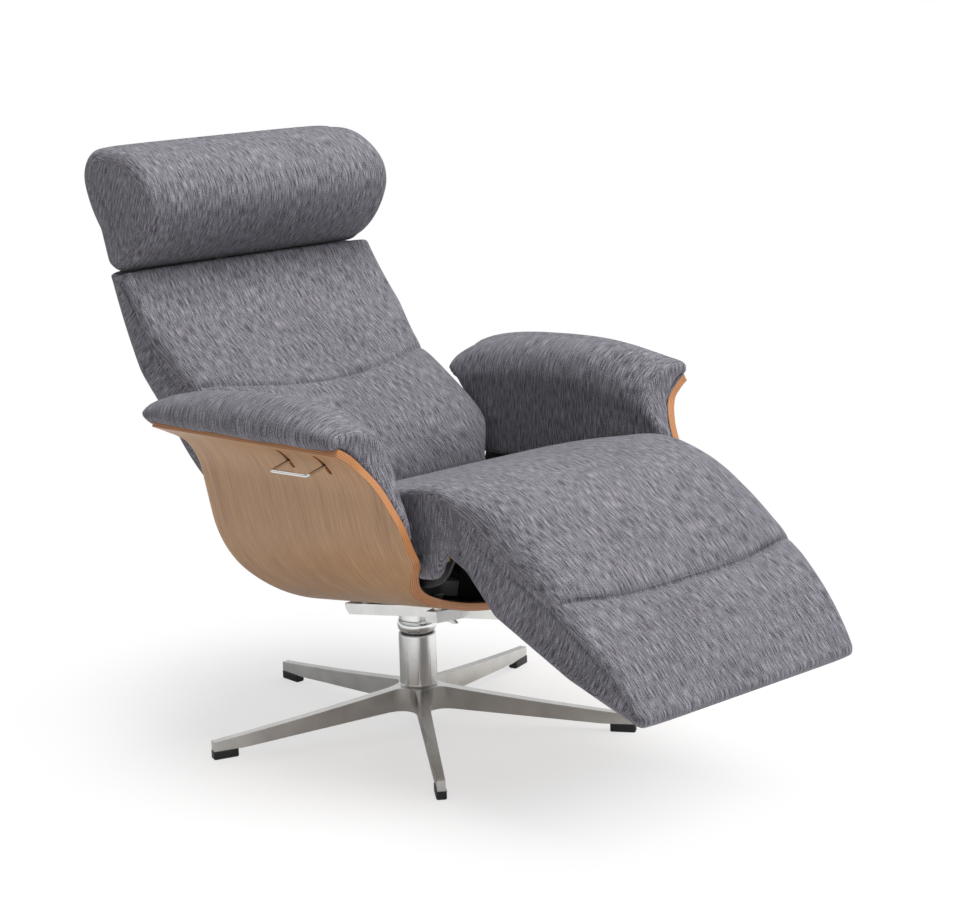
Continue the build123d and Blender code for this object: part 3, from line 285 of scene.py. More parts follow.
@dataclass(frozen=True)
class PlyEdge(Finish):
    """Cut and lacquered edge of moulded plywood: orange brown layers, every other one darker end grain."""

    name: str = "lacquered plywood edge"
    layer: float = 1.33  # mm, nine layers in the wall as in the real one
    fibres: tuple[Noise, ...] = (((90.0, 2200.0, 1.0), 2.0, 0.55),)  # 11 mm long, 0.5 mm thick

    def build(self, tree: NodeTree) -> dict:
        """Colour each layer by its depth in the wall, with a waver under half a millimetre."""
        uv = add(tree, "UVMap", uv_map="cloth")
        inwards = add(tree, "SeparateXYZ", (uv,)).outputs[1]
        waver = add(tree, "TexNoise", {"Vector": uv, "Scale": 60.0, "Detail": 1.0})
        depth = add(tree, "Math", (waver, 0.4 / MM, inwards), operation="MULTIPLY_ADD")
        layers = add(tree, "Math", (depth, self.layer / MM), operation="DIVIDE")
        number = add(tree, "Math", (layers,), operation="FLOOR")
        odd = add(tree, "Math", (number, 2.0), operation="MODULO")
        fibre = streaks(tree, uv, self.fibres, mean=self.fibres[0][2] / 2)
        tone = add(tree, "Math", (odd, 0.42, fibre), operation="MULTIPLY_ADD")
        stops = ((0.15, "#8d5530"), (0.45, "#b0713f"), (0.8, "#cf9560"))
        return {
            "Base Color": add(tree, "ValToRGB", (tone,), stops),
            "Roughness": 0.38,
            "Coat Weight": 0.2,
            "Coat Roughness": 0.3,
            "Normal": self.raised(tree, tone, 0.2),
        }


@dataclass(frozen=True)
class Surface(Finish):
    """Metal, paint, plastic or felt: one shade and gloss that drift in clouds, over marks or a fine grain."""

    name: str
    shades: tuple[str, str]
    roughness: float
    spread: float  # of the roughness
    grain: float  # marks or grain per metre
    depth: float  # mm
    metallic: float = 1.0
    clouds: float = 30.0  # per metre, 33 mm across
    detail: float = 3.0

    def build(self, tree: NodeTree) -> dict:
        """Metal's gloss goes with the clouds, a coat's with its grain."""
        spot = add(tree, "TexCoord").outputs["Object"]
        cloud = add(tree, "TexNoise", {"Vector": spot, "Scale": self.clouds, "Detail": self.detail})
        grain = add(tree, "TexNoise", {"Vector": spot, "Scale": self.grain, "Detail": 2.0})
        gloss = (cloud if self.metallic else grain, self.spread, self.roughness - self.spread / 2)
        return {
            "Base Color": add(tree, "ValToRGB", (cloud,), ((0.3, self.shades[0]), (0.75, self.shades[1]))),
            "Roughness": add(tree, "Math", gloss, operation="MULTIPLY_ADD"),
            "Metallic": self.metallic,
            "Normal": self.raised(tree, grain, self.depth),
        }


@dataclass(frozen=True)
class BirchBoard(Finish):
    """Plain birch plywood: pale and dull, with long soft grain."""

    name: str = "birch board"
    layers: tuple[Noise, ...] = (((120.0, 8.0, 8.0), 4.0, 1.0),)  # grain 8 mm across, 125 mm long

    def build(self, tree: NodeTree) -> dict:
        """Stretch the grain along the board."""
        grain = streaks(tree, add(tree, "TexCoord").outputs["Object"], self.layers)
        return {
            "Base Color": add(tree, "ValToRGB", (grain,), ((0.3, "#a98a60"), (0.7, "#c9ad82"))),
            "Roughness": 0.6,
            "Normal": self.raised(tree, grain, 0.1),
        }


class Palette(Enum):
    """The chair's finishes."""

    CLOTH = SlubWeave()
    THREAD = SewingThread()
    VENEER = OakVeneer()
    PLY_EDGE = PlyEdge()
    # Bright, with faint polishing marks 1.1 mm apart, ten times the real ones.
    CASTING = Surface("polished aluminium casting", ("#c9c9c7", "#dcdcda"), 0.24, 0.08, 900.0, 0.03)
    # Mirror bright, so that it shows the studio's bands, and almost without marks.
    CHROME = Surface("chrome plated steel", ("#d2d3d4", "#dcdcda"), 0.1, 0.04, 1200.0, 0.01)
    # Duller and greyer than chrome, with an uneven gloss.
    ZINC = Surface("zinc plated steel", ("#9b9c9e", "#dcdcda"), 0.32, 0.1, 900.0, 0.03)
    # Nearly black, its light broken by an orange peel of 1.4 mm as on the real coat; clouds of 70 mm.
    POWDER = Surface("black powder coat", ("#1b1b1d", "#29292c"), 0.5, 0.2, 700.0, 0.1, 0.0, 14.0, 2.0)
    # Black with a slight gloss and a finer grain.
    GLIDE = Surface("moulded black nylon", ("#17171a", "#222226"), 0.42, 0.2, 1200.0, 0.06, 0.0, 14.0, 2.0)
    # Black without gloss, its fibres 0.7 mm across.
    LINING = Surface("black felt lining", ("#101012", "#1b1b1e"), 0.9, 0.2, 1500.0, 0.3, 0.0, 14.0, 2.0)
    BOARD = BirchBoard()


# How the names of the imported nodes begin; what isn't here is powder coated.
WORN: dict[Palette, tuple[str, ...]] = {
    Palette.CASTING: ("star_base", "shell_carrier"),
    Palette.CHROME: ("base_column", "swivel_collar", "release_handle", "strut_rod", "headrest_carriage"),
    Palette.GLIDE: ("column_bushing", "floor_glide"),
    Palette.ZINC: (
        "thrust_washer", "swivel_spindle", "shell_bolts", "tube_bolts", "knee_pins", "back_pivot_pins",
        "strut_front_pin", "strut_rear_pin",
    ),
    Palette.BOARD: ("seat_board", "legrest_board", "back_board"),
}


def dress(nodes: dict[str, Object]) -> None:
    """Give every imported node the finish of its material."""
    for name, obj in nodes.items():
        finish = next((f for f, starts in WORN.items() if name.startswith(starts)), Palette.POWDER)
        made = finish.value.material()
        if not obj.material_slots:
            obj.data.materials.append(made)
        for slot in obj.material_slots:
            slot.material = made
        log.info("%s: %s", name, made.name)


# ---- outlines and meshes
def circle_through(a: Point, b: Point, c: Point) -> tuple[float, float, float, float, float]:
    """Arc from a through b to c.

    Args:
        a: the start.
        b: a point on the arc.
        c: the end.

    Returns:
        Centre, radius, first angle and sweep.
    """
    d = 2 * (a[0] * (b[1] - c[1]) + b[0] * (c[1] - a[1]) + c[0] * (a[1] - b[1]))
    sa, sb, sc = (p[0] ** 2 + p[1] ** 2 for p in (a, b, c))
    y = (sa * (b[1] - c[1]) + sb * (c[1] - a[1]) + sc * (a[1] - b[1])) / d
    z = (sa * (c[0] - b[0]) + sb * (a[0] - c[0]) + sc * (b[0] - a[0])) / d
    first = math.atan2(a[1] - z, a[0] - y)
    middle, last = ((math.atan2(p[1] - z, p[0] - y) - first) % math.tau for p in (b, c))
    sweep = last if middle < last else last - math.tau
    return y, z, math.hypot(a[0] - y, a[1] - z), first, sweep


def sample(
    start: Point, steps: tuple[Step, ...], counts: list[int] | None = None
) -> tuple[np.ndarray, list[int]]:
    """Sample a closed side-view outline.

    Args:
        start: the first point.
        steps: a point for a line, or (through, end) for an arc; it closes to the start.
        counts: points on each step, worked out about 2 mm apart where not given.

    Returns:
        The points, and the counts used.
    """
    points: list[Point] = []
    used: list[int] = []
    here = start
    for number, step in enumerate(steps + (start,)):
        arc = isinstance(step[0], tuple)
        end = step[1] if arc else step
        count = counts[number] if counts else max(2, int(math.dist(here, end) / 2))
        used.append(count)
        shares = [i / count for i in range(count)]
        if arc:
            y, z, radius, first, sweep = circle_through(here, step[0], end)
            angles = [first + sweep * share for share in shares]
            points += [(y + radius * math.cos(a), z + radius * math.sin(a)) for a in angles]
        else:
            points += [(here[0] + (end[0] - here[0]) * s, here[1] + (end[1] - here[1]) * s) for s in shares]
        here = end
    return np.array(points), used


def line_gap(point: Point, line: tuple[Point, ...]) -> float:
    """Distance from a side-view point to a line of points, in mm."""
    best = math.inf
    for a, b in zip(line, line[1:]):
        dy, dz = b[0] - a[0], b[1] - a[1]
        share = ((point[0] - a[0]) * dy + (point[1] - a[1]) * dz) / max(dy * dy + dz * dz, TINY)
        share = min(1.0, max(0.0, share))
        best = min(best, math.hypot(point[0] - a[0] - share * dy, point[1] - a[1] - share * dz))
    return best


def steps_of(line: np.ndarray) -> np.ndarray:
    """Distance of each point along a line of points, from 0."""
    return np.concatenate([[0.0], np.cumsum(np.linalg.norm(np.diff(line, axis=0), axis=1))])


def walk(run: np.ndarray, line: np.ndarray, at: float) -> tuple[np.ndarray, np.ndarray]:
    """Point at a distance along a line, and the way of its next millimetre."""
    here, ahead = (np.array([np.interp(to, run, line[:, axis]) for axis in (0, 1)]) for to in (at, at + 1.0))
    return here, ahead - here


def coordinates(mesh: Mesh) -> np.ndarray:
    """Vertex coordinates of a mesh as an array."""
    flat = np.empty(len(mesh.vertices) * 3, np.float32)
    mesh.vertices.foreach_get("co", flat)
    return flat.reshape(-1, 3).astype(float)


def move_to(mesh: Mesh, points: np.ndarray) -> None:
    """Give a mesh new vertex coordinates."""
    mesh.vertices.foreach_set("co", points.astype(np.float32).ravel())
    mesh.update()


def evaluated(obj: Object) -> Object:
    """The object with its modifiers worked out."""
    return obj.evaluated_get(bpy.context.evaluated_depsgraph_get())


def finish_mesh(bm: BMesh, name: str, *finishes: Palette) -> Object:
    """Turn a bmesh into an object in the scene.

    Args:
        bm: the mesh, freed here.
        name: the piece's name.
        finishes: its materials, in the order of the faces' material numbers.

    Returns:
        The object, at the origin.
    """
    data = bpy.data.meshes.new(name)
    bm.to_mesh(data)
    bm.free()
    obj = bpy.data.objects.new(name, data)
    for finish in finishes:
        data.materials.append(finish.value.material())
    bpy.context.scene.collection.objects.link(obj)
    return obj


def apply_modifiers(obj: Object) -> None:
    """Replace the object's mesh by what its modifiers make of it."""
    data = bpy.data.meshes.new_from_object(evaluated(obj))
    obj.modifiers.clear()
    obj.data = data


def subdivide(obj: Object) -> None:
    """Round a cover by one level of subdivision."""
    smooth = obj.modifiers.new("round", "SUBSURF")
    smooth.levels = smooth.render_levels = 1


def subtract(obj: Object, cutter: Object) -> None:
    """Cut a solid out of the finished object and drop the cutter."""
    cut = obj.modifiers.new("cut", "BOOLEAN")
    cut.operation = "DIFFERENCE"
    cut.solver = "EXACT"
    cut.object = cutter
    apply_modifiers(obj)
    bpy.data.objects.remove(cutter)


def extruded(outline: tuple[Point, ...], low: float, high: float) -> BMesh:
    """Carry a side-view outline across the chair.

    Args:
        outline: its points.
        low: where it starts, x in mm.
        high: where it ends.

    Returns:
        The closed mesh.
    """
    bm = bmesh.new()
    face = bm.faces.new([bm.verts.new(place(low, *p)) for p in outline])
    made = bmesh.ops.extrude_face_region(bm, geom=[face])
    moved = [g for g in made["geom"] if isinstance(g, BMVert)]
    bmesh.ops.translate(bm, verts=moved, vec=((high - low) / MM, 0, 0))
    bmesh.ops.recalc_face_normals(bm, faces=bm.faces)
    return bm


def swelling(obj: Object, most: float) -> np.ndarray:
    """Blow a closed mesh up as pressed cloth for half a second, and leave the object as it was.

    Args:
        obj: the mesh.
        most: mm that a vertex may move.

    Returns:
        How each vertex moves, in metres.
    """
    before = coordinates(obj.data)
    cloth = obj.modifiers.new("cloth", "CLOTH")
    settings = cloth.settings
    settings.quality = 4
    settings.mass = 0.3
    settings.use_pressure = True
    settings.uniform_pressure_force = 4.0
    settings.effector_weights.gravity = 0.0
    settings.tension_stiffness = settings.compression_stiffness = 25
    settings.shear_stiffness = 12
    settings.bending_stiffness = 0.6
    cloth.collision_settings.use_collision = False
    for number in range(1, 13):
        bpy.context.scene.frame_set(number)
    move = coordinates(evaluated(obj).data) - before
    obj.modifiers.remove(cloth)
    bpy.context.scene.frame_set(1)
    length = np.linalg.norm(move, axis=1, keepdims=True)
    return move * np.minimum(1.0, most / MM / np.maximum(length, TINY))


def hand_over(obj: Object, body: str) -> None:
    """Give a finished piece its body, and log it."""
    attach(obj, body)
    log.info("%s: %d faces", obj.name, len(obj.data.polygons))


def ease(value: np.ndarray, start: float, span: float) -> np.ndarray:
    """0 up to the start, 1 a span further on."""
    return np.clip((value - start) / span, 0.0, 1.0)


def outwards(points: np.ndarray) -> float:
    """1 where the left normal of a closed side-view outline points out of it, or else -1."""
    y, z = points[:, 0], points[:, 1]
    return 1.0 if float(np.sum(y * np.roll(z, -1) - np.roll(y, -1) * z)) > 0 else -1.0


def loop_edges(bm: BMesh, ring: list[BMVert]) -> list[BMEdge]:
    """The edges round a ring of vertices."""
    return [bm.edges.get(pair) for pair in zip(ring, ring[1:] + ring[:1])]


# ---- cushions
RIM_ROWS = [0.0, 1.2, 3.0, 5.5, 8.5, 12.0, 16.0, 20.5, 25.5, 31.0]  # mm in from the side
SEAM_ROWS = np.array([-7.5, -4.5, -2.2, -0.8, 0.8, 2.2, 4.5, 7.5])  # mm from the middle of a cross seam
SEAM_CLEAR = 9.0  # mm beside a cross seam without other rows
SEAM_DRAG = 70.0  # mm over which the rows follow a cross seam's bow
SEAM_FADE = (14.0, 0.15)  # mm in from the side to a channel's full depth, and its share at the side
PLUMP = (1.6, 26.0, 18.0)  # mm: height, distance and width of the swelling beside a cross seam
PANEL_EDGES = (4.2, 15.0, 8.0)  # mm: an end panel's edges near a side seam, elsewhere, and how near is near
PANEL_EASE = 16.0  # mm in from its rim over which an end panel bulges
PANEL = 1  # material number that marks the end panels while a cushion is made


@dataclass(frozen=True)
class CrossSeam:
    """A sewn channel from side to side, given by where the middle of it lies in side view."""

    at: Point
    end_shift: float  # mm along the outline at the ends, + is further along it
    power: float
    depth: float = 6.5
    width: float = 5.0


Channels = list[tuple[float, CrossSeam]]  # each cross seam with its distance along the crown


@dataclass(frozen=True)
class SideSeam:
    """A sewn line on both end panels or along their edge, as side-view points."""

    line: tuple[Point, ...]
    depth: float = 3.0
    width: float = 3.4


@dataclass
class Cushion:
    """A padded piece: a side-view outline carried across the chair, crowned, seamed and blown up."""

    name: str
    nodes: tuple[str, ...]
    bodies: tuple[str, ...]
    half_width: float
    crown_start: Point
    crown: tuple[Step, ...]  # outline in the middle of the chair
    edge_start: Point
    edge: tuple[Step, ...]  # outline at the sides, with the same steps
    shares: tuple[Point, ...]  # (mm in from the side, share of the way from edge to crown)
    swell: float  # mm that the blown up cloth may move
    waist: tuple[Point, ...] = ()  # (distance along the waist axis, half width) where the width changes
    waist_axis: tuple[float, float, float, float] = (0.0, 0.0, 1.0, 0.0)  # a point and a direction
    waist_ease: float = 34.0
    corner: float = 5.0  # mm, radius of the rounding into the end panels
    bulge: float = 0.0  # mm that the end panels stand out
    cross: tuple[CrossSeam, ...] = ()
    sides: tuple[SideSeam, ...] = ()
    pitch: float = 7.0  # mm between rows
    bend: tuple[Point, Point] | None = None
    cutters: tuple[tuple[float, float, tuple[Point, ...]], ...] = ()  # (low x, high x, outline)
    panel_turns: tuple[Point, ...] = ()  # (degrees, in front of this y) cloth turned on the end panels
    slot: str = "grey_weave"

    def rows(self) -> tuple[np.ndarray, np.ndarray, np.ndarray]:
        """Sample both outlines.

        Returns:
            Crown points, edge points and the distance along the closed crown, in mm.
        """
        crown, counts = sample(self.crown_start, self.crown)
        edge, _ = sample(self.edge_start, self.edge, counts)
        return crown, edge, steps_of(np.vstack([crown, crown[:1]]))

    def channels(self, crown: np.ndarray, run: np.ndarray) -> Channels:
        """Where the cross seams lie along the crown."""
        return [(run[int(np.argmin(np.linalg.norm(crown - np.array(s.at), axis=1)))], s) for s in self.cross]

    def marks(self, total: float, seams: Channels) -> np.ndarray:
        """Distances along the crown of the rows, closer at the seams."""
        count = int(total / self.pitch)
        marks = np.arange(count) * total / count
        for middle, _ in seams:
            marks = np.concatenate([marks[np.abs(marks - middle) > SEAM_CLEAR], middle + SEAM_ROWS])
        return np.sort(marks)

    def stations(self) -> list[float]:
        """Distances in from each side at which the outline is repeated, mm."""
        found = list(RIM_ROWS)
        while found[-1] < self.half_width - self.pitch * 1.5:
            found.append(found[-1] + self.pitch)
        return found + [self.half_width]

    def width_at(self, points: np.ndarray) -> np.ndarray:
        """Half width at side-view points, eased along the waist axis.

        Args:
            points: side-view points.

        Returns:
            Half widths in mm.
        """
        if not self.waist:
            return np.full(len(points), self.half_width)
        y, z, dy, dz = self.waist_axis
        along = (points[:, 0] - y) * dy + (points[:, 1] - z) * dz
        keys = np.array(self.waist)
        fine = np.linspace(keys[0, 0], keys[-1, 0], 400)
        raw = np.interp(fine, keys[:, 0], keys[:, 1])
        span = max(1, int(self.waist_ease / (fine[1] - fine[0])))
        kernel = np.hanning(span + 2)[1:-1]
        padded = np.pad(raw, span, mode="edge")
        smooth = np.convolve(padded, kernel / kernel.sum(), mode="same")[span:-span]
        return np.interp(along, fine, smooth)

    def outline_at(
        self, inset: float, marks: np.ndarray, lines: tuple[np.ndarray, ...], seams: Channels
    ) -> tuple[np.ndarray, np.ndarray]:
        """Outline at one station: between edge and crown, channelled and rounded at the corner.

        Args:
            inset: mm in from the side.
            marks: distances of the rows along the crown.
            lines: crown, edge and distances along the crown.
            seams: what channels returns.

        Returns:
            Distance along the crown that each point stands for, and the points.
        """
        crown, edge, run = lines
        share = float(np.interp(inset, *np.transpose(self.shares)))
        lateral = 1.0 - inset / self.half_width
        here = marks.copy()
        for middle, seam in seams:
            here = here + seam.end_shift * lateral**seam.power * np.exp(-(((marks - middle) / SEAM_DRAG) ** 2))
        here = np.mod(here, run[-1])
        low, high = (
            np.column_stack([np.interp(here, run, np.append(line[:, axis], line[0, axis])) for axis in (0, 1)])
            for line in (edge, crown)
        )
        points = low + (high - low) * share
        tangent = np.roll(points, -1, axis=0) - np.roll(points, 1, axis=0)
        normal = np.stack([tangent[:, 1], -tangent[:, 0]], axis=1)
        normal /= np.maximum(np.linalg.norm(normal, axis=1, keepdims=True), TINY)
        normal *= outwards(points)
        for middle, seam in seams:
            gap = marks - middle
            fade = min(1.0, inset / SEAM_FADE[0]) * (1 - SEAM_FADE[1]) + SEAM_FADE[1]
            drop = seam.depth * np.exp(-((gap / seam.width) ** 2)) * fade
            rise = PLUMP[0] * np.exp(-(((np.abs(gap) - PLUMP[1]) / PLUMP[2]) ** 2)) * fade
            points += normal * (rise - drop)[:, None]
        if inset < self.corner:
            points -= normal * (self.corner - math.sqrt(self.corner**2 - (self.corner - inset) ** 2))
        return here, points

    @staticmethod
    def ring(bm: BMesh, last: list[BMVert], spots: np.ndarray) -> list[BMVert]:
        """Start the tube with a ring of vertices, or extrude the last ring to new places.

        Args:
            bm: the cushion.
            last: the last ring, empty at the start.
            spots: x, y and z of each vertex in mm.

        Returns:
            The new ring.
        """
        if not last:
            ring = [bm.verts.new(place(*spot)) for spot in spots]
            for pair in zip(ring, ring[1:] + ring[:1]):
                bm.edges.new(pair)
            return ring
        made = bmesh.ops.extrude_edge_only(bm, edges=loop_edges(bm, last))
        fresh = {g for g in made["geom"] if isinstance(g, BMVert)}
        ring = [next(e.other_vert(v) for e in v.link_edges if e.other_vert(v) in fresh) for v in last]
        for vert, spot in zip(ring, spots):
            vert.co = place(*spot)
        return ring

    def mesh(self) -> Object:
        """Carry the outline across the chair with bmesh and fill both end panels.

        Returns:
            The new object.
        """
        lines = self.rows()
        total = lines[2][-1]
        seams = self.channels(lines[0], lines[2])
        marks = self.marks(total, seams)
        insets, rim = self.stations(), RIM_ROWS[-1]
        bm = bmesh.new()
        bm.loops.layers.uv.new("cloth")
        store = bm.verts.layers.float_vector.new("cloth")
        rings: list[list[BMVert]] = [[]]
        reach, spots = np.zeros(len(marks)), None
        for side, inset in [(-1, inset) for inset in insets] + [(1, inset) for inset in reversed(insets[:-1])]:
            here, points = self.outline_at(inset, marks, lines, seams)
            xs = side * (self.width_at(points) - min(inset, rim))
            if inset > rim:
                xs = xs * (self.half_width - inset) / (self.half_width - rim)
            before, spots = spots, np.column_stack([xs, points])
            if before is not None:
                reach = reach + np.linalg.norm(spots - before, axis=1)
            rings.append(self.ring(bm, rings[-1], spots))
            for vert, mark, u in zip(rings[-1], here, reach):
                vert[store] = Vector((u / MM, mark / MM, 0.0))
        for ring in (rings[1], rings[-1]):
            bmesh.ops.edgeloop_fill(bm, edges=loop_edges(bm, ring))
        bm.normal_update()
        caps = [f for f in bm.faces if len(f.verts) > 4]
        for face in caps:
            face.material_index = PANEL
        bmesh.ops.triangulate(bm, faces=caps, quad_method="BEAUTY", ngon_method="EAR_CLIP")
        self.refine_panels(bm)
        bmesh.ops.recalc_face_normals(bm, faces=bm.faces)
        self.lay_cloth(bm, total / MM)
        self.sink_seams(bm)
        for face in bm.faces:
            face.material_index = 0
        return finish_mesh(bm, self.name, Palette.CLOTH)

    def lay_cloth(self, bm: BMesh, total: float) -> None:
        """Write the cloth coordinates: round the crown, and flat on the end panels.

        Args:
            bm: the cushion, with the distances across and along in its vertices.
            total: metres round the crown.
        """
        layer, store = bm.loops.layers.uv["cloth"], bm.verts.layers.float_vector["cloth"]
        for face in bm.faces:
            values = [v[store][1] for v in face.verts]
            wraps = max(values) - min(values) > total / 2
            for loop in face.loops:
                u, v = loop.vert[store][:2]
                around = (u, v + total if wraps and v < total / 2 else v)
                loop[layer].uv = self.side_uv(loop.vert.co) if face.material_index == PANEL else around
            face.smooth = True

    def side_uv(self, co: Vector) -> Point:
        """Cloth coordinates on an end panel, turned with the panel where panel_turns says."""
        turn = 0.0
        for degrees, front in self.panel_turns:
            if co.y * MM < front + AXIS_Y:
                turn = math.radians(degrees)
        return (co.y * math.cos(turn) + co.z * math.sin(turn), co.z * math.cos(turn) - co.y * math.sin(turn))

    def refine_panels(self, bm: BMesh) -> None:
        """Divide the end panels until the cloth can bulge and the seams can sink.

        Args:
            bm: the cushion.
        """
        fine, coarse, near = PANEL_EDGES
        for _ in range(7):
            long_edges = []
            for edge in self.panel_edges(bm):
                middle = side_view((edge.verts[0].co + edge.verts[1].co) / 2)
                wanted = fine if any(line_gap(middle, seam.line) < near for seam in self.sides) else coarse
                if edge.calc_length() * MM > wanted * 1.5:
                    long_edges.append(edge)
            if not long_edges:
                break
            bmesh.ops.subdivide_edges(bm, edges=long_edges, cuts=1)
            panel = [f for f in bm.faces if f.material_index == PANEL]
            bmesh.ops.triangulate(bm, faces=[f for f in panel if len(f.verts) > 3])
            panel = [f for f in bm.faces if f.material_index == PANEL]
            bmesh.ops.beautify_fill(bm, faces=panel, edges=self.panel_edges(bm), method="ANGLE")

    @staticmethod
    def panel_edges(bm: BMesh) -> list[BMEdge]:
        """The edges inside the end panels."""
        return [e for e in bm.edges if all(f.material_index == PANEL for f in e.link_faces)]

    def sink_seams(self, bm: BMesh) -> None:
        """Press the side seams into the end panels and bulge the cloth between them.

        Args:
            bm: the cushion.
        """
        rim = {v for e in bm.edges if {f.material_index for f in e.link_faces} == {0, PANEL} for v in e.verts}
        rim_points = np.array([(v.co.y, v.co.z) for v in rim if v.co.x > 0])
        for vert in {v for f in bm.faces if f.material_index == PANEL for v in f.verts} - rim:
            gap = float(np.min(np.hypot(rim_points[:, 0] - vert.co.y, rim_points[:, 1] - vert.co.z))) * MM
            shift = self.bulge * (1 - math.exp(-gap / PANEL_EASE))
            for seam in self.sides:
                shift -= seam.depth * math.exp(-((line_gap(side_view(vert.co), seam.line) / seam.width) ** 2))
            vert.co.x += math.copysign(1.0, vert.co.x) * shift / MM

    def freedom(self, points: np.ndarray) -> np.ndarray:
        """Share of the swelling each vertex follows: none at seams, edges, hinges and undersides."""
        drawn = np.stack([points[:, 1] * MM - AXIS_Y, points[:, 2] * MM], axis=1)
        free = ease(self.half_width - np.abs(points[:, 0]) * MM, 2.0, 30.0)
        for seam in self.cross:
            free *= ease(np.hypot(*(drawn - np.array(seam.at)).T), 14.0, 40.0)
        return free * self.show_side(drawn)

    def show_side(self, drawn: np.ndarray) -> np.ndarray:
        """Share of freedom by side-view place: 1 on the side that shows, 0 underneath."""
        raise NotImplementedError

    def make(self) -> Object:
        """Build, blow up, round and cut the cushion, then hand it to attach.

        Returns:
            The finished cushion.
        """
        obj = self.mesh()
        before = coordinates(obj.data)
        move_to(obj.data, before + swelling(obj, self.swell) * self.freedom(before)[:, None])
        subdivide(obj)
        for low, high, outline in self.cutters:
            room = finish_mesh(extruded(outline, low, high), "room_cutter", Palette.LINING)
            room.data.uv_layers.new(name="cloth")
            subtract(obj, room)
        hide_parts(*self.nodes)
        self.attach(obj)
        log.info("%s: %d faces", self.name, len(obj.data.polygons))
        return obj

    def attach(self, obj: Object) -> None:
        """Ride on the one body; with a bend given, only bake the transform into the mesh."""
        if self.bend:
            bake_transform(obj)
            return
        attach(obj, self.bodies[0])


@dataclass
class SeatAndLegrest(Cushion):
    """One cover over the seat, round the knee and down the legrest."""

    def show_side(self, drawn: np.ndarray) -> np.ndarray:
        """Free on top, still at the knee's underside and the crease."""
        line = np.interp(drawn[:, 0], [-712, -446, -388, -347, 45], [225, 335, 420, 420, 372])
        return ease(drawn[:, 1] - line, 0.0, 25.0) * ease(-drawn[:, 0], 10.0, 60.0)


@dataclass
class BackCushion(Cushion):
    """Reclining back: lumbar roll, channel and upper pad."""

    def show_side(self, drawn: np.ndarray) -> np.ndarray:
        """Free on the front and the rear, still at both ends."""
        along = ((drawn[:, 0] - 100) + (drawn[:, 1] - 345)) / math.sqrt(2)
        return ease(along, 45.0, 60.0) * ease(-along, -455.0, 40.0)


@dataclass
class HeadPillow(Cushion):
    """Headrest with a deep rolled front."""

    def show_side(self, drawn: np.ndarray) -> np.ndarray:
        """Free everywhere but at the heel."""
        return ease(np.hypot(drawn[:, 0] - 425, drawn[:, 1] - 765), 46.0, 30.0)


KNEE = (polar(-375, 432, 47, 285), polar(-375, 432, 47, 309))  # arc round the knee pins
HEEL = (polar(100, 345, 60, 225), polar(100, 345, 60, 146))  # arc round the back's pivot

SEAT = SeatAndLegrest(
    name="seat_and_legrest",
    nodes=("seat_cushion", "legrest_cushion"),
    bodies=("chassis", "legrest"),
    half_width=241.0,
    crown_start=(44, 331),
    crown=(
        polar(100, 345, 62.5, 172), ((28.5, 370), (18.5, 398)), ((-110, 441), (-262, 477)),
        ((-325, 487), (-375, 484)), ((-440, 476), (-490, 452)), ((-543, 408), (-584, 360)),
        ((-652, 306), (-704, 236)), ((-713, 223), (-704, 211)), (-446, 318), (-388, 376), KNEE, (-313, 381),
    ),
    edge_start=(44, 331),
    edge=(
        polar(100, 345, 62.5, 172), ((30, 366), (21, 390)), ((-110, 433), (-262, 469)),
        ((-312, 478), (-352, 475)), ((-440, 430), (-492, 398)), ((-536, 378), (-582, 348)),
        ((-656, 292), (-703, 234)), ((-709, 224), (-704, 214)), (-446, 321), (-388, 376), KNEE, (-313, 381),
    ),
    shares=(
        (0, 0), (3, 0.26), (7, 0.46), (14, 0.65), (28, 0.83), (48, 0.925), (80, 0.975), (120, 0.99), (241, 1),
    ),
    swell=7.0,
    waist=((300, 241), (590, 241), (700, 223), (708, 219), (722, 206)),
    waist_axis=(0.0, 0.0, -1.0, 0.0),
    waist_ease=10.0,
    cross=(CrossSeam(at=(-590, 354), end_shift=-25.0, power=3.0),),
    sides=(
        SideSeam((
            (-392, 436), (-424, 411), (-479, 385), (-526, 366), (-568, 345), (-626, 303), (-679, 252),
            (-700, 222),
        )),
        SideSeam(((-318, 474), (-337, 458), (-358, 438), (-378, 410), (-388, 380)), depth=2.6, width=3.2),
    ),
    bend=((-318, 480), (-402, 480)),
    panel_turns=((24.0, -375.0),),
)

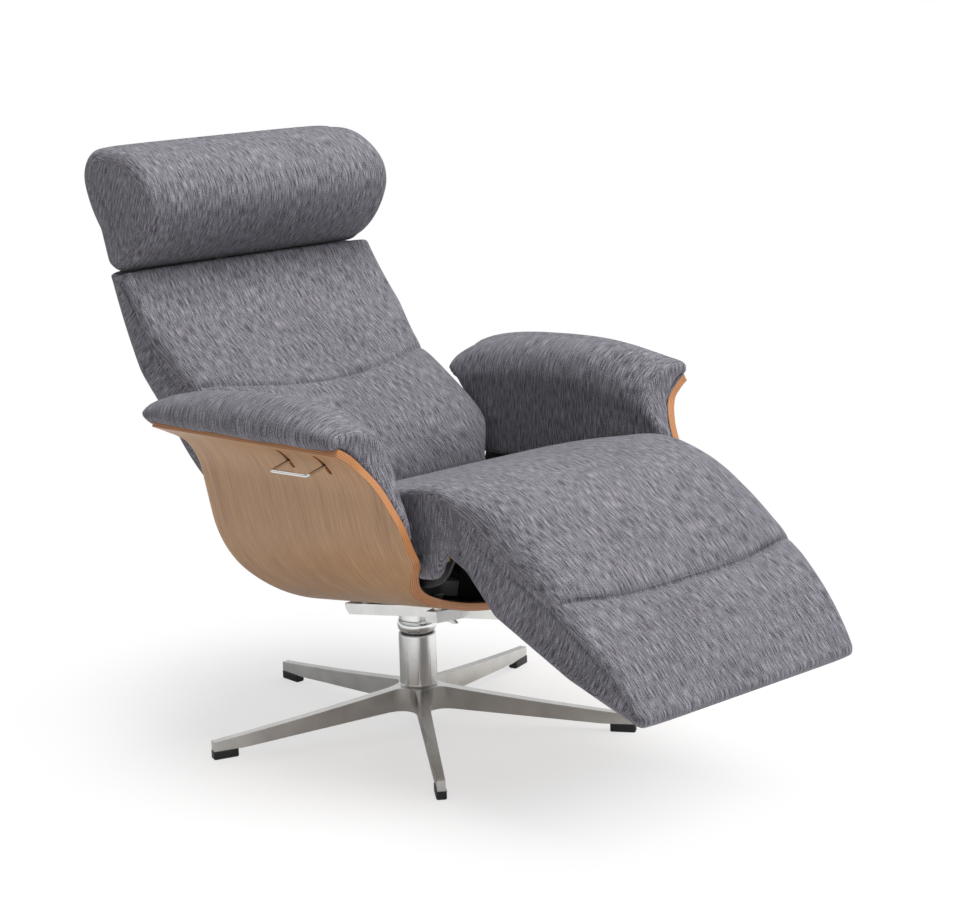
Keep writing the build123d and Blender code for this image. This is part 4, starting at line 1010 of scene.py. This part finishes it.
BACK = BackCushion(
    name="back_pad",
    nodes=("back_cushion",),
    bodies=("back",),
    half_width=256.0,
    crown_start=polar(100, 345, 60, -60),
    crown=(
        HEEL, ((60, 448), (102, 494)), ((160, 532), (222, 563)), ((318, 652), (382, 721)),
        ((388, 728), (396, 727)), (polar(425, 765, 46, 272), polar(425, 765, 46, 303)), (438, 712),
        ((400, 612), (322, 484)), ((270, 430), (209, 393)),
    ),
    edge_start=polar(100, 345, 60, -60),
    edge=(
        HEEL, ((78, 440), (118, 480)), ((170, 512), (228, 546)), ((330, 640), (387, 716)),
        ((392, 723), (399, 723)), (polar(425, 765, 47.5, 260), polar(425, 765, 48.5, 272)), (424, 706),
        ((385, 620), (310, 495)), ((262, 442), (205, 399)),
    ),
    shares=(
        (0, 0), (3, 0.24), (7, 0.44), (14, 0.62), (28, 0.82), (48, 0.92), (80, 0.965), (125, 0.99), (256, 1),
    ),
    swell=6.0,
    waist=((-90, 211), (8, 211), (58, 237.5), (255, 237.5), (345, 256), (620, 256)),
    waist_axis=(100.0, 345.0, math.sqrt(0.5), math.sqrt(0.5)),
    corner=9.0,
    cross=(CrossSeam(at=(184, 545), end_shift=52.0, power=1.7),),
    sides=(
        SideSeam((
            (398, 706), (383, 690), (359, 656), (324, 606), (304, 578), (270, 546), (215, 512), (160, 475),
            (128, 440), (110, 420),
        )),
    ),
    cutters=((-20.0, 20.0, ((167.3, 426.1), (10, 305), (60, 235), (172.9, 264.4), (219.3, 400.1))),),
    panel_turns=((45.0, 900.0),),
)

HEAD = HeadPillow(
    name="head_pillow",
    nodes=("headrest_pillow",),
    bodies=("headrest",),
    half_width=246.0,
    crown_start=polar(425, 765, 42, 228),
    crown=(
        ((348, 766), (315, 818)), ((313, 852), (332, 884)), ((382, 914), (452, 920)), ((502, 908), (515, 862)),
        ((498, 820), (474, 788)), polar(425, 765, 42, 318),
        (polar(425, 765, 42, 273), polar(425, 765, 42, 228)),
    ),
    edge_start=polar(425, 765, 39, 231),
    edge=(
        ((356, 769), (323, 819)), ((321, 851), (339, 879)), ((386, 906), (450, 912)), ((495, 900), (507, 860)),
        ((491, 821), (469, 790)), polar(425, 765, 39, 314),
        (polar(425, 765, 39, 272), polar(425, 765, 39, 231)),
    ),
    shares=(
        (0, 0), (2.5, 0.3), (6, 0.46), (12, 0.62), (26, 0.81), (44, 0.91), (75, 0.96), (115, 0.985), (246, 1),
    ),
    swell=6.0,
    corner=15.0,
    bulge=3.0,
    sides=(SideSeam(((478, 872), (471, 861), (457, 845), (442, 829), (425, 809), (413, 778), (403, 745))),),
    panel_turns=((20.0, 900.0),),
)


# ---- stitches
Shot = tuple[Vector, Vector, Vector]  # start and direction of a sight line, and the way of sewing


@dataclass
class Stitches:
    """Top stitching beside the seams of one cushion, each stitch a small bead of thread."""

    cushion: Cushion
    length: float = 5.0
    thick: float = 1.1
    proud: float = 0.35
    pitch: float = 7.4
    beside: float = 4.2
    margin: float = 34.0  # mm at both ends of a cross seam without stitches
    beyond: float = 330.0  # mm, x outside the chair
    above: float = 45.0  # mm over a channel
    sight: float = 0.5  # m

    def side_shots(self) -> list[Shot]:
        """Where the rows on the end panels lie, seen from both sides of the chair."""
        shots = []
        for seam in self.cushion.sides:
            line = np.array(seam.line)
            run = steps_of(line)
            for at in np.arange(self.pitch, run[-1] - self.pitch, self.pitch):
                here, (dy, dz) = walk(run, line, at)
                dy, dz = np.array([dy, dz]) / math.hypot(dy, dz)
                y, z = here + np.array([-dz, dy]) * self.beside
                for side in (-1, 1):
                    shots.append((place(side * self.beyond, y, z), Vector((-side, 0, 0)), Vector((0, dy, dz))))
        return shots

    def cross_shots(self) -> list[Shot]:
        """Where the rows on both sides of the sewn channels lie, seen from outside."""
        shots = []
        crown, _, run = self.cushion.rows()
        closed = np.vstack([crown, crown[:1]])
        half = self.cushion.half_width
        for middle, seam in self.cushion.channels(crown, run):
            for beside in (-self.beside, self.beside):
                for x in np.arange(self.margin - half, half - self.margin + 1, self.pitch):
                    at = middle + beside + seam.end_shift * (abs(x) / half) ** seam.power
                    here, (dy, dz) = walk(run, closed, at)
                    out = np.array([dz, -dy]) / math.hypot(dy, dz) * outwards(crown)
                    start = place(x, *(here + out * self.above))
                    shots.append((start, Vector((0, -out[0], -out[1])), Vector((1, 0, 0))))
        return shots

    def make(self, obj: Object) -> None:
        """Lay every stitch on the finished cushion.

        Args:
            obj: the cushion.
        """
        shots = self.side_shots() + self.cross_shots()
        cover = BVHTree.FromObject(obj, bpy.context.evaluated_depsgraph_get())
        size = Matrix.Diagonal((self.length / 2 / MM, self.thick / 2 / MM, self.thick / 2 / MM, 1))
        bm = bmesh.new()
        for start, direction, along in shots:
            spot, normal, _, _ = cover.ray_cast(start, direction, self.sight)
            if spot is None:
                continue
            along = (along - normal * along.dot(normal)).normalized()
            turn = Matrix((along, normal.cross(along), normal)).transposed().to_4x4()
            matrix = Matrix.Translation(spot + normal * self.proud / MM) @ turn @ size
            bmesh.ops.create_uvsphere(bm, u_segments=6, v_segments=4, radius=1.0, matrix=matrix)
        for face in bm.faces:
            face.smooth = True
        made = finish_mesh(bm, f"{self.cushion.name}_stitches", Palette.THREAD)
        self.cushion.attach(made)
        log.info("%s: %d stitches", made.name, len(shots))


# ---- arms and flaps
@dataclass
class ArmPad:
    """Upholstered arm: the pad's solid turned to cloth, softened and blown up on top."""

    node: str
    solid: Object
    voxel: float = 4.5
    swell: float = 5.0  # mm that the blown up top may move
    plump: float = 2.2  # mm added all round, but not against the plywood
    fill: float = 3.2  # mm added on the faces that look forward
    centre: Point = (306.0, 520.0)  # x and z about which the cloth turns over the pad
    girth: float = 95.2  # mm of cloth to a radian of that turn

    def make(self) -> None:
        """Build the pad from its solid."""
        bm = bmesh.new()
        bm.from_mesh(self.solid.data)
        bmesh.ops.remove_doubles(bm, verts=bm.verts, dist=0.05 / MM)
        obj = finish_mesh(bm, f"{self.node}_cover")
        remesh = obj.modifiers.new("even", "REMESH")
        remesh.mode = "VOXEL"
        remesh.voxel_size = self.voxel / MM
        apply_modifiers(obj)
        bm = bmesh.new()
        bm.from_mesh(obj.data)
        every_way = {"use_axis_x": True, "use_axis_y": True, "use_axis_z": True}
        for _ in range(4):
            bmesh.ops.smooth_vert(bm, verts=bm.verts, factor=0.5, **every_way)
        bm.to_mesh(obj.data)
        bm.free()
        self.puff(obj)
        self.wrap(obj.data)
        obj.data.materials.append(Palette.CLOTH.value.material())
        subdivide(obj)
        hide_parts(self.node)
        hand_over(obj, "chassis")

    def puff(self, obj: Object) -> None:
        """Blow up the free top and the inner side of the pad a little, less near the plywood."""
        points = coordinates(obj.data)
        normals = np.empty(len(points) * 3, np.float32)
        obj.data.vertices.foreach_get("normal", normals)
        normals = normals.reshape(-1, 3).astype(float)
        blown = swelling(obj, self.swell)
        across = np.abs(points[:, 0]) * MM
        share = ease(points[:, 2] * MM, 505.0, 60.0) * ease(across, 246.0, 45.0)
        flat = normals * self.plump / MM * ease(across, 247.0, 12.0)[:, None]
        flat[:, 1] -= np.clip(-normals[:, 1], 0.0, 1.0) * self.fill / MM
        move_to(obj.data, points + flat + blown * share[:, None])

    def wrap(self, mesh: Mesh) -> None:
        """Lay the cloth over the pad from the inner side to the outer side, and flat on both ends."""
        layer = mesh.uv_layers.new(name="cloth")
        for polygon in mesh.polygons:
            polygon.use_smooth = True
            for index in polygon.loop_indices:
                co = mesh.vertices[mesh.loops[index].vertex_index].co
                x, z = abs(co.x) * MM - self.centre[0], co.z * MM - self.centre[1]
                below = min(z, -20.0) / MM  # straight down under the turn
                along = self.girth * math.atan2(x, max(z, -20.0) + 45) / MM + (-below if x > 0 else below)
                is_end = abs(polygon.normal.y) > 0.8
                layer.data[index].uv = (abs(co.x), co.z) if is_end else (co.y, along)


@dataclass
class SideFlap:
    """Padded cloth flap beside the knee, sewn to the seat's side."""

    side: int
    inner_x: float = 223.5
    thick: float = 17.0
    outline: tuple[Point, ...] = (
        (-367, 408), (-353, 404), (-341, 390), (-330, 362), (-319, 349), (-288, 345), (-276, 375), (-266, 420),
        (-300, 452), (-345, 440),
    )

    def make(self) -> None:
        """Extrude the flap, round its edges and attach it."""
        bm = extruded(self.outline, self.side * self.inner_x, self.side * (self.inner_x + self.thick))
        bevel = {"offset": 5 / MM, "segments": 3, "profile": 0.5, "affect": "EDGES", "clamp_overlap": True}
        bmesh.ops.bevel(bm, geom=bm.edges[:], material=-1, **bevel)
        layer = bm.loops.layers.uv.new("cloth")
        for face in bm.faces:
            face.smooth = True
            for loop in face.loops:
                loop[layer].uv = (loop.vert.co.y + loop.vert.co.x * 0.6, loop.vert.co.z)
        obj = finish_mesh(bm, "knee_flap_right" if self.side > 0 else "knee_flap_left", Palette.CLOTH)
        hand_over(obj, "chassis")


# ---- moulded plywood
def rounded(corners: tuple[tuple[float, float, float], ...]) -> np.ndarray:
    """Round the corners of a closed side-view polygon.

    Args:
        corners: y, z and radius of each corner.

    Returns:
        The outline's points.
    """
    points: list[Point] = []
    for number, (y, z, radius) in enumerate(corners):
        here = np.array([y, z], float)
        if not radius:
            points.append((y, z))
            continue
        around = (corners[number - 1], corners[(number + 1) % len(corners)])
        before, after = (np.array(corner[:2], float) - here for corner in around)
        before /= np.linalg.norm(before)
        after /= np.linalg.norm(after)
        angle = math.acos(float(np.clip(before @ after, -1, 1)))
        back = radius / math.tan(angle / 2)
        centre = here + (before + after) / np.linalg.norm(before + after) * radius / math.sin(angle / 2)
        first, last = here + before * back - centre, here + after * back - centre
        sweep = math.pi - angle
        for share in np.linspace(0, 1, 12):
            spoke = first * math.sin((1 - share) * sweep) + last * math.sin(share * sweep)
            points.append(tuple(centre + spoke / math.sin(sweep)))
    return np.array(points)


@dataclass
class PlyShell:
    """Moulded plywood seat shell: flared arms, rounded belly and a trimmed outline."""

    node: str = "plywood_shell"
    wall: float = 12.0
    front_y: float = -335.0
    rear_y: float = 190.0
    floor_z: float = 209.3
    fall: float = 0.1475  # of the floor, per mm towards the rear
    flare_z: float = 457.4
    flare_fall: float = 0.035
    flare_radius: float = 108.0
    flare_turn: float = 51.0  # degrees
    wall_x: float = 293.0
    lean: float = 12.0  # degrees that the arms' walls lean out
    front_belly: Point = (455.0, 23.1)  # radius, and half angle in degrees
    rear_belly: Point = (343.0, 42.1)
    rows: int = 56
    slots: tuple[float, ...] = (-111.0, -194.0)  # y of the release handle's slots
    slot_size: tuple[float, float, float] = (0.06, 0.0084, 0.044)  # m through, along and up the flare
    slot_round: float = 3.6  # mm, radius of their ends
    slot_share: float = 0.62  # of the flare's turn, where the slots are square to it
    slot_strands: tuple[tuple[int, float], ...] = ((6, 0.16), (7, 0.84))  # shares of two section points
    hard: float = 50.0  # degrees, edges steeper than this stay sharp
    cloth_above: float = 425.0  # mm, the arms' inner faces are upholstered from here up
    trim: tuple[tuple[float, float, float], ...] = (
        (-236, 100, 0), (-228, 290, 30), (-318, 377, 30), (-314, 431, 60), (-262, 518, 12), (-255, 600, 0),
        (176, 600, 0), (176, 523, 2), (132, 508, 10), (132, 100, 0),
    )

    def section(self, y: float, belly: Point, depth: float) -> np.ndarray:
        """Cross section at one end of the ruled blank, a depth in from the outside.

        Args:
            y: place along the chair.
            belly: radius and half angle of the belly there.
            depth: mm in from the outer surface.

        Returns:
            Points (x, z) from the left tip of the flare to the right one.
        """
        floor, flare_z = self.floor_z - self.fall * y, self.flare_z - self.flare_fall * y
        radius, near = belly[0], math.radians(belly[1])
        steep, lean = math.radians(90 - self.lean), math.radians(self.lean)
        corner = (self.wall_x - radius * math.sin(near)) / (math.sin(steep) - math.sin(near))
        corner_z = floor + radius * (1 - math.cos(near)) + corner * math.cos(near)
        wall = (flare_z - corner_z + corner * math.cos(steep)) / math.sin(steep)
        flare_x = self.wall_x + wall * math.cos(steep) + self.flare_radius * math.cos(lean)
        flare_mid = flare_z - self.flare_radius * math.sin(lean)
        half: list[Point] = []
        for x, z, reach, angles in (
            (0.0, floor + radius, radius - depth, np.linspace(0, near, 19)),
            ((radius - corner) * math.sin(near), corner_z, corner - depth, np.linspace(near, steep, 27)[1:]),
        ):
            half += [(x + reach * math.sin(a), z - reach * math.cos(a)) for a in angles]
        reach = self.flare_radius + depth
        tip = math.radians(self.lean + self.flare_turn)
        flare = [
            (flare_x - reach * math.cos(a), flare_mid + reach * math.sin(a)) for a in np.linspace(lean, tip, 19)
        ]
        low, high = half[-1], flare[0]
        for share in np.linspace(0, 1, 12)[1:]:
            half.append((low[0] + (high[0] - low[0]) * share, low[1] + (high[1] - low[1]) * share))
        half += flare[1:]
        return np.array([(-x, z) for x, z in reversed(half[1:])] + half)

    def ends(self, depth: float) -> tuple[np.ndarray, np.ndarray]:
        """The sections at the front and at the rear, a depth in from the outside."""
        front = self.section(self.front_y, self.front_belly, depth)
        return front, self.section(self.rear_y, self.rear_belly, depth)

    def surface(self, bm: BMesh, depth: float) -> set[BMVert]:
        """Bend a grid into one face of the plywood, trimmed to the side outline.

        Args:
            bm: where the grid goes.
            depth: mm in from the outer surface.

        Returns:
            The grid's vertices.
        """
        front, rear = self.ends(depth)
        count = len(front)
        line = rounded(self.trim)
        limits = [self.reach(line, front[i, 1], rear[i, 1]) for i in range(count)]
        made = bmesh.ops.create_grid(bm, x_segments=count - 1, y_segments=self.rows, size=1.0)["verts"]
        layer = bm.loops.layers.uv["cloth"]
        run = steps_of(front)
        for vert in made:
            i = round((vert.co.x + 1) / 2 * (count - 1))
            y = limits[i][0] + (limits[i][1] - limits[i][0]) * (vert.co.y + 1) / 2
            x, z = front[i] + (rear[i] - front[i]) * (y - self.front_y) / (self.rear_y - self.front_y)
            vert.co = place(x, y, z)
            for loop in vert.link_loops:
                loop[layer].uv = (vert.co.y, run[i] / MM)
        return set(made)

    def reach(self, line: np.ndarray, front_z: float, rear_z: float) -> Point:
        """First and last y at which a straight strand of the blank lies inside the trim outline."""
        ys = np.linspace(self.front_y, self.rear_y, 1400)
        zs = front_z + (rear_z - front_z) * (ys - self.front_y) / (self.rear_y - self.front_y)
        inside = np.zeros(len(ys), bool)
        for a, b in zip(line, np.roll(line, -1, axis=0)):
            rise = b[1] - a[1] if abs(b[1] - a[1]) > TINY else TINY
            inside ^= ((a[1] > zs) != (b[1] > zs)) & (ys < a[0] + (zs - a[1]) / rise * (b[0] - a[0]))
        low = high = int(np.argmin(np.abs(ys)))
        while low > 0 and inside[low - 1]:
            low -= 1
        while high < len(ys) - 1 and inside[high + 1]:
            high += 1
        return float(ys[low]), float(ys[high])

    def make(self) -> None:
        """Build both faces, close the rim with plies, cut the slots and attach the shell."""
        finishes = (Palette.VENEER, Palette.LINING, Palette.PLY_EDGE, Palette.CLOTH)
        bm = bmesh.new()
        layer = bm.loops.layers.uv.new("cloth")
        outer, inner = self.surface(bm, 0.0), self.surface(bm, self.wall)
        bmesh.ops.reverse_faces(bm, faces=[f for f in bm.faces if f.verts[0] in outer])
        for face in (f for f in bm.faces if f.verts[0] in inner):
            upholstered = face.calc_center_median().z * MM > self.cloth_above
            face.material_index = finishes.index(Palette.CLOTH if upholstered else Palette.LINING)
        for face in bmesh.ops.bridge_loops(bm, edges=[e for e in bm.edges if e.is_boundary])["faces"]:
            face.material_index = finishes.index(Palette.PLY_EDGE)
            for loop in face.loops:
                co = loop.vert.co
                depth = 0.0 if loop.vert in outer else self.wall / MM
                loop[layer].uv = (co.z + co.y * 0.7 + abs(co.x) * 0.5, depth)
        bmesh.ops.recalc_face_normals(bm, faces=bm.faces)
        obj = finish_mesh(bm, "oak_shell", *finishes)
        self.cut_slots(obj)
        soften = obj.modifiers.new("edges", "BEVEL")
        soften.width = 0.9 / MM
        soften.segments = 2
        soften.limit_method = "ANGLE"
        soften.angle_limit = math.radians(self.hard)
        apply_modifiers(obj)
        self.sharpen(obj.data)
        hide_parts(self.node)
        hand_over(obj, "chassis")

    def cut_slots(self, obj: Object) -> None:
        """Cut the two slots for the release handle through the left flare."""
        front, rear = self.ends(0.0)
        turn = Matrix.Rotation(-math.radians(self.lean + self.flare_turn * self.slot_share), 4, "Y")
        for y in self.slots:
            strand = front + (rear - front) * (y - self.front_y) / (self.rear_y - self.front_y)
            x, z = sum(strand[i] * share for i, share in self.slot_strands)
            bm = bmesh.new()
            matrix = Matrix.Translation(place(x, y, z)) @ turn @ Matrix.Diagonal((*self.slot_size, 1))
            bmesh.ops.create_cube(bm, size=1.0, matrix=matrix)
            through = [e for e in bm.edges if abs(e.calc_length() - self.slot_size[0]) < 1 / MM]
            ends = {"offset": self.slot_round / MM, "segments": 4, "profile": 0.5, "affect": "EDGES"}
            bmesh.ops.bevel(bm, geom=through, material=-1, **ends)
            subtract(obj, finish_mesh(bm, "slot_cutter", Palette.PLY_EDGE))

    def sharpen(self, mesh: Mesh) -> None:
        """Shade smooth with hard lines at the steep edges."""
        bm = bmesh.new()
        bm.from_mesh(mesh)
        for face in bm.faces:
            face.smooth = True
        for edge in bm.edges:
            edge.smooth = len(edge.link_faces) != 2 or edge.calc_face_angle(0.0) < math.radians(self.hard)
        bm.to_mesh(mesh)
        bm.free()


# ---- studio
@dataclass
class Studio:
    """Camera at the photograph's place, pale floor and soft light."""

    spot: tuple[float, float, float] = (-2.378, -2.684, 1.270)
    forward: tuple[float, float, float] = (0.6563, 0.7220, -0.2192)
    right: tuple[float, float, float] = (0.7400, -0.6726, 0.0)
    roll: float = -1.65  # degrees
    lens: float = 88.97
    world_light: float = 0.62
    key_watts: float = 215.0
    rim_watts: float = 14.0

    def axes(self) -> tuple[Vector, Vector, Vector]:
        """Right, up and forward of the camera."""
        forward, right = Vector(self.forward).normalized(), Vector(self.right).normalized()
        up = right.cross(forward)
        cos, sin = math.cos(math.radians(self.roll)), math.sin(math.radians(self.roll))
        return right * cos + up * sin, up * cos - right * sin, forward

    def camera(self) -> None:
        """Create the camera."""
        right, up, forward = self.axes()
        data = bpy.data.cameras.new("camera")
        data.lens = self.lens
        data.sensor_width = 36.0
        obj = bpy.data.objects.new("camera", data)
        obj.matrix_world = Matrix.Translation(self.spot) @ Matrix((right, up, -forward)).transposed().to_4x4()
        bpy.context.scene.collection.objects.link(obj)
        bpy.context.scene.camera = obj

    def lamp(self, name: str, towards: Vector, away: float, size: float, watts: float) -> None:
        """Add a soft square lamp that faces the chair.

        Args:
            name: its name.
            towards: where it stands, seen from 0.4 m above the middle of the floor.
            away: its distance from there in metres.
            size: edge length in metres.
            watts: its power.
        """
        data = bpy.data.lights.new(name, "AREA")
        data.shape = "SQUARE"
        data.size = size
        data.energy = watts
        obj = bpy.data.objects.new(name, data)
        at = towards.normalized() * away + Vector((0, 0, 0.4))
        aim = Vector((0, 0.05, 0.45)) - at
        obj.matrix_world = Matrix.Translation(at) @ aim.to_track_quat("-Z", "Y").to_matrix().to_4x4()
        bpy.context.scene.collection.objects.link(obj)

    def lights(self) -> None:
        """A big key from the right, front and above, and a weak rim from behind on the left."""
        right, _, forward = self.axes()
        level = Vector((forward.x, forward.y, 0)).normalized()
        self.lamp("key", right * 0.6 - level * 0.42 + Vector((0, 0, 2.1)), 4.3, 3.0, self.key_watts)
        self.lamp("rim", -right * 0.9 + level * 0.75 + Vector((0, 0, 1.0)), 4.0, 1.6, self.rim_watts)

    def world(self) -> None:
        """Soft surroundings: white to the camera, grey bands in reflections, plain light elsewhere."""
        made = bpy.data.worlds.new("studio")
        bpy.context.scene.world = made
        made.use_nodes = True
        tree = made.node_tree
        shown = tree.nodes["Background"]
        shown.inputs["Color"].default_value = (1, 1, 1, 1)
        around = add(tree, "TexCoord").outputs["Generated"]
        up = add(tree, "SeparateXYZ", (around,)).outputs[2]
        height = add(tree, "Math", (up, 0.5, 0.5), operation="MULTIPLY_ADD")
        toward = add(tree, "VectorMath", (around, self.right), operation="DOT_PRODUCT").outputs["Value"]
        rise = add(tree, "Math", (toward, 0.95, 0.62), operation="MULTIPLY_ADD")
        rise = add(tree, "Math", (up, 0.35, rise), operation="MULTIPLY_ADD")
        floor = add(tree, "Math", (rise, 0.1), operation="MAXIMUM")
        share = add(tree, "Math", (floor, 1.2), operation="MINIMUM")
        strength = add(tree, "Math", (share, self.world_light), operation="MULTIPLY")
        sky = ((0.0, "#f2f2f2"), (0.5, "#e8e8e8"), (0.62, "#ffffff"), (1.0, "#ffffff"))
        bands = (
            (0.0, "#a6a6a6"), (0.5, "#747474"), (0.56, "#c8c8c8"), (0.72, "#f4f4f4"), (0.86, "#7c7c7c"),
            (1.0, "#e6e6e6"),
        )
        plain, glossy = (
            add(tree, "Background", {"Color": add(tree, "ValToRGB", (height,), stops), "Strength": power})
            for stops, power in ((sky, strength), (bands, 1.0))
        )
        path = add(tree, "LightPath").outputs
        unseen = add(tree, "MixShader", (path["Is Glossy Ray"], plain, glossy))
        both = add(tree, "MixShader", (path["Is Camera Ray"], unseen, shown))
        wire(tree, tree.nodes["World Output"], {"Surface": both})

    def floor(self) -> None:
        """Lay a wide matt white floor that keeps the shadow near the chair and glows white further out."""
        bm = bmesh.new()
        bmesh.ops.create_grid(bm, x_segments=1, y_segments=1, size=60.0)
        obj = finish_mesh(bm, "floor")
        made = bpy.data.materials.new("matt white floor")
        made.use_nodes = True
        tree = made.node_tree
        surface = tree.nodes["Principled BSDF"]
        wire(tree, surface, {"Base Color": (0.95, 0.95, 0.95, 1), "Roughness": 0.9, "Specular IOR Level": 0.0})
        glow = add(tree, "Emission", {"Color": (1, 1, 1, 1), "Strength": 1.0})
        spot = add(tree, "TexCoord").outputs["Object"]
        away = add(tree, "VectorMath", (spot, (0.0, 0.12, 0.0)), operation="DISTANCE").outputs["Value"]
        clear = add(tree, "MapRange", (away, 0.28, 0.75, 0.6, 1.0), interpolation_type="SMOOTHSTEP")
        seen = add(tree, "LightPath").outputs["Is Camera Ray"]
        share = add(tree, "Math", (seen, clear), operation="MULTIPLY")
        wire(tree, tree.nodes["Material Output"], {"Surface": add(tree, "MixShader", (share, surface, glow))})
        obj.data.materials.append(made)

    def make(self) -> None:
        """Set up the whole studio."""
        bpy.context.scene.view_settings.view_transform = "Standard"
        self.camera()
        self.lights()
        self.world()
        self.floor()
        log.info("studio: camera, two lamps, world and floor")


def main() -> None:
    """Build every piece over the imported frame."""
    logging.basicConfig(level=logging.INFO, format="%(name)s: %(message)s")
    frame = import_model()
    nodes = frame["nodes"]
    dress(nodes)
    PlyShell().make()
    for cushion in (SEAT, BACK, HEAD):
        Stitches(cushion).make(cushion.make())
    for side, node in ((-1, "arm_pad_left"), (1, "arm_pad_right")):
        ArmPad(node, nodes[node]).make()
        SideFlap(side).make()
    Studio().make()


if __name__ == "__main__":
    main()
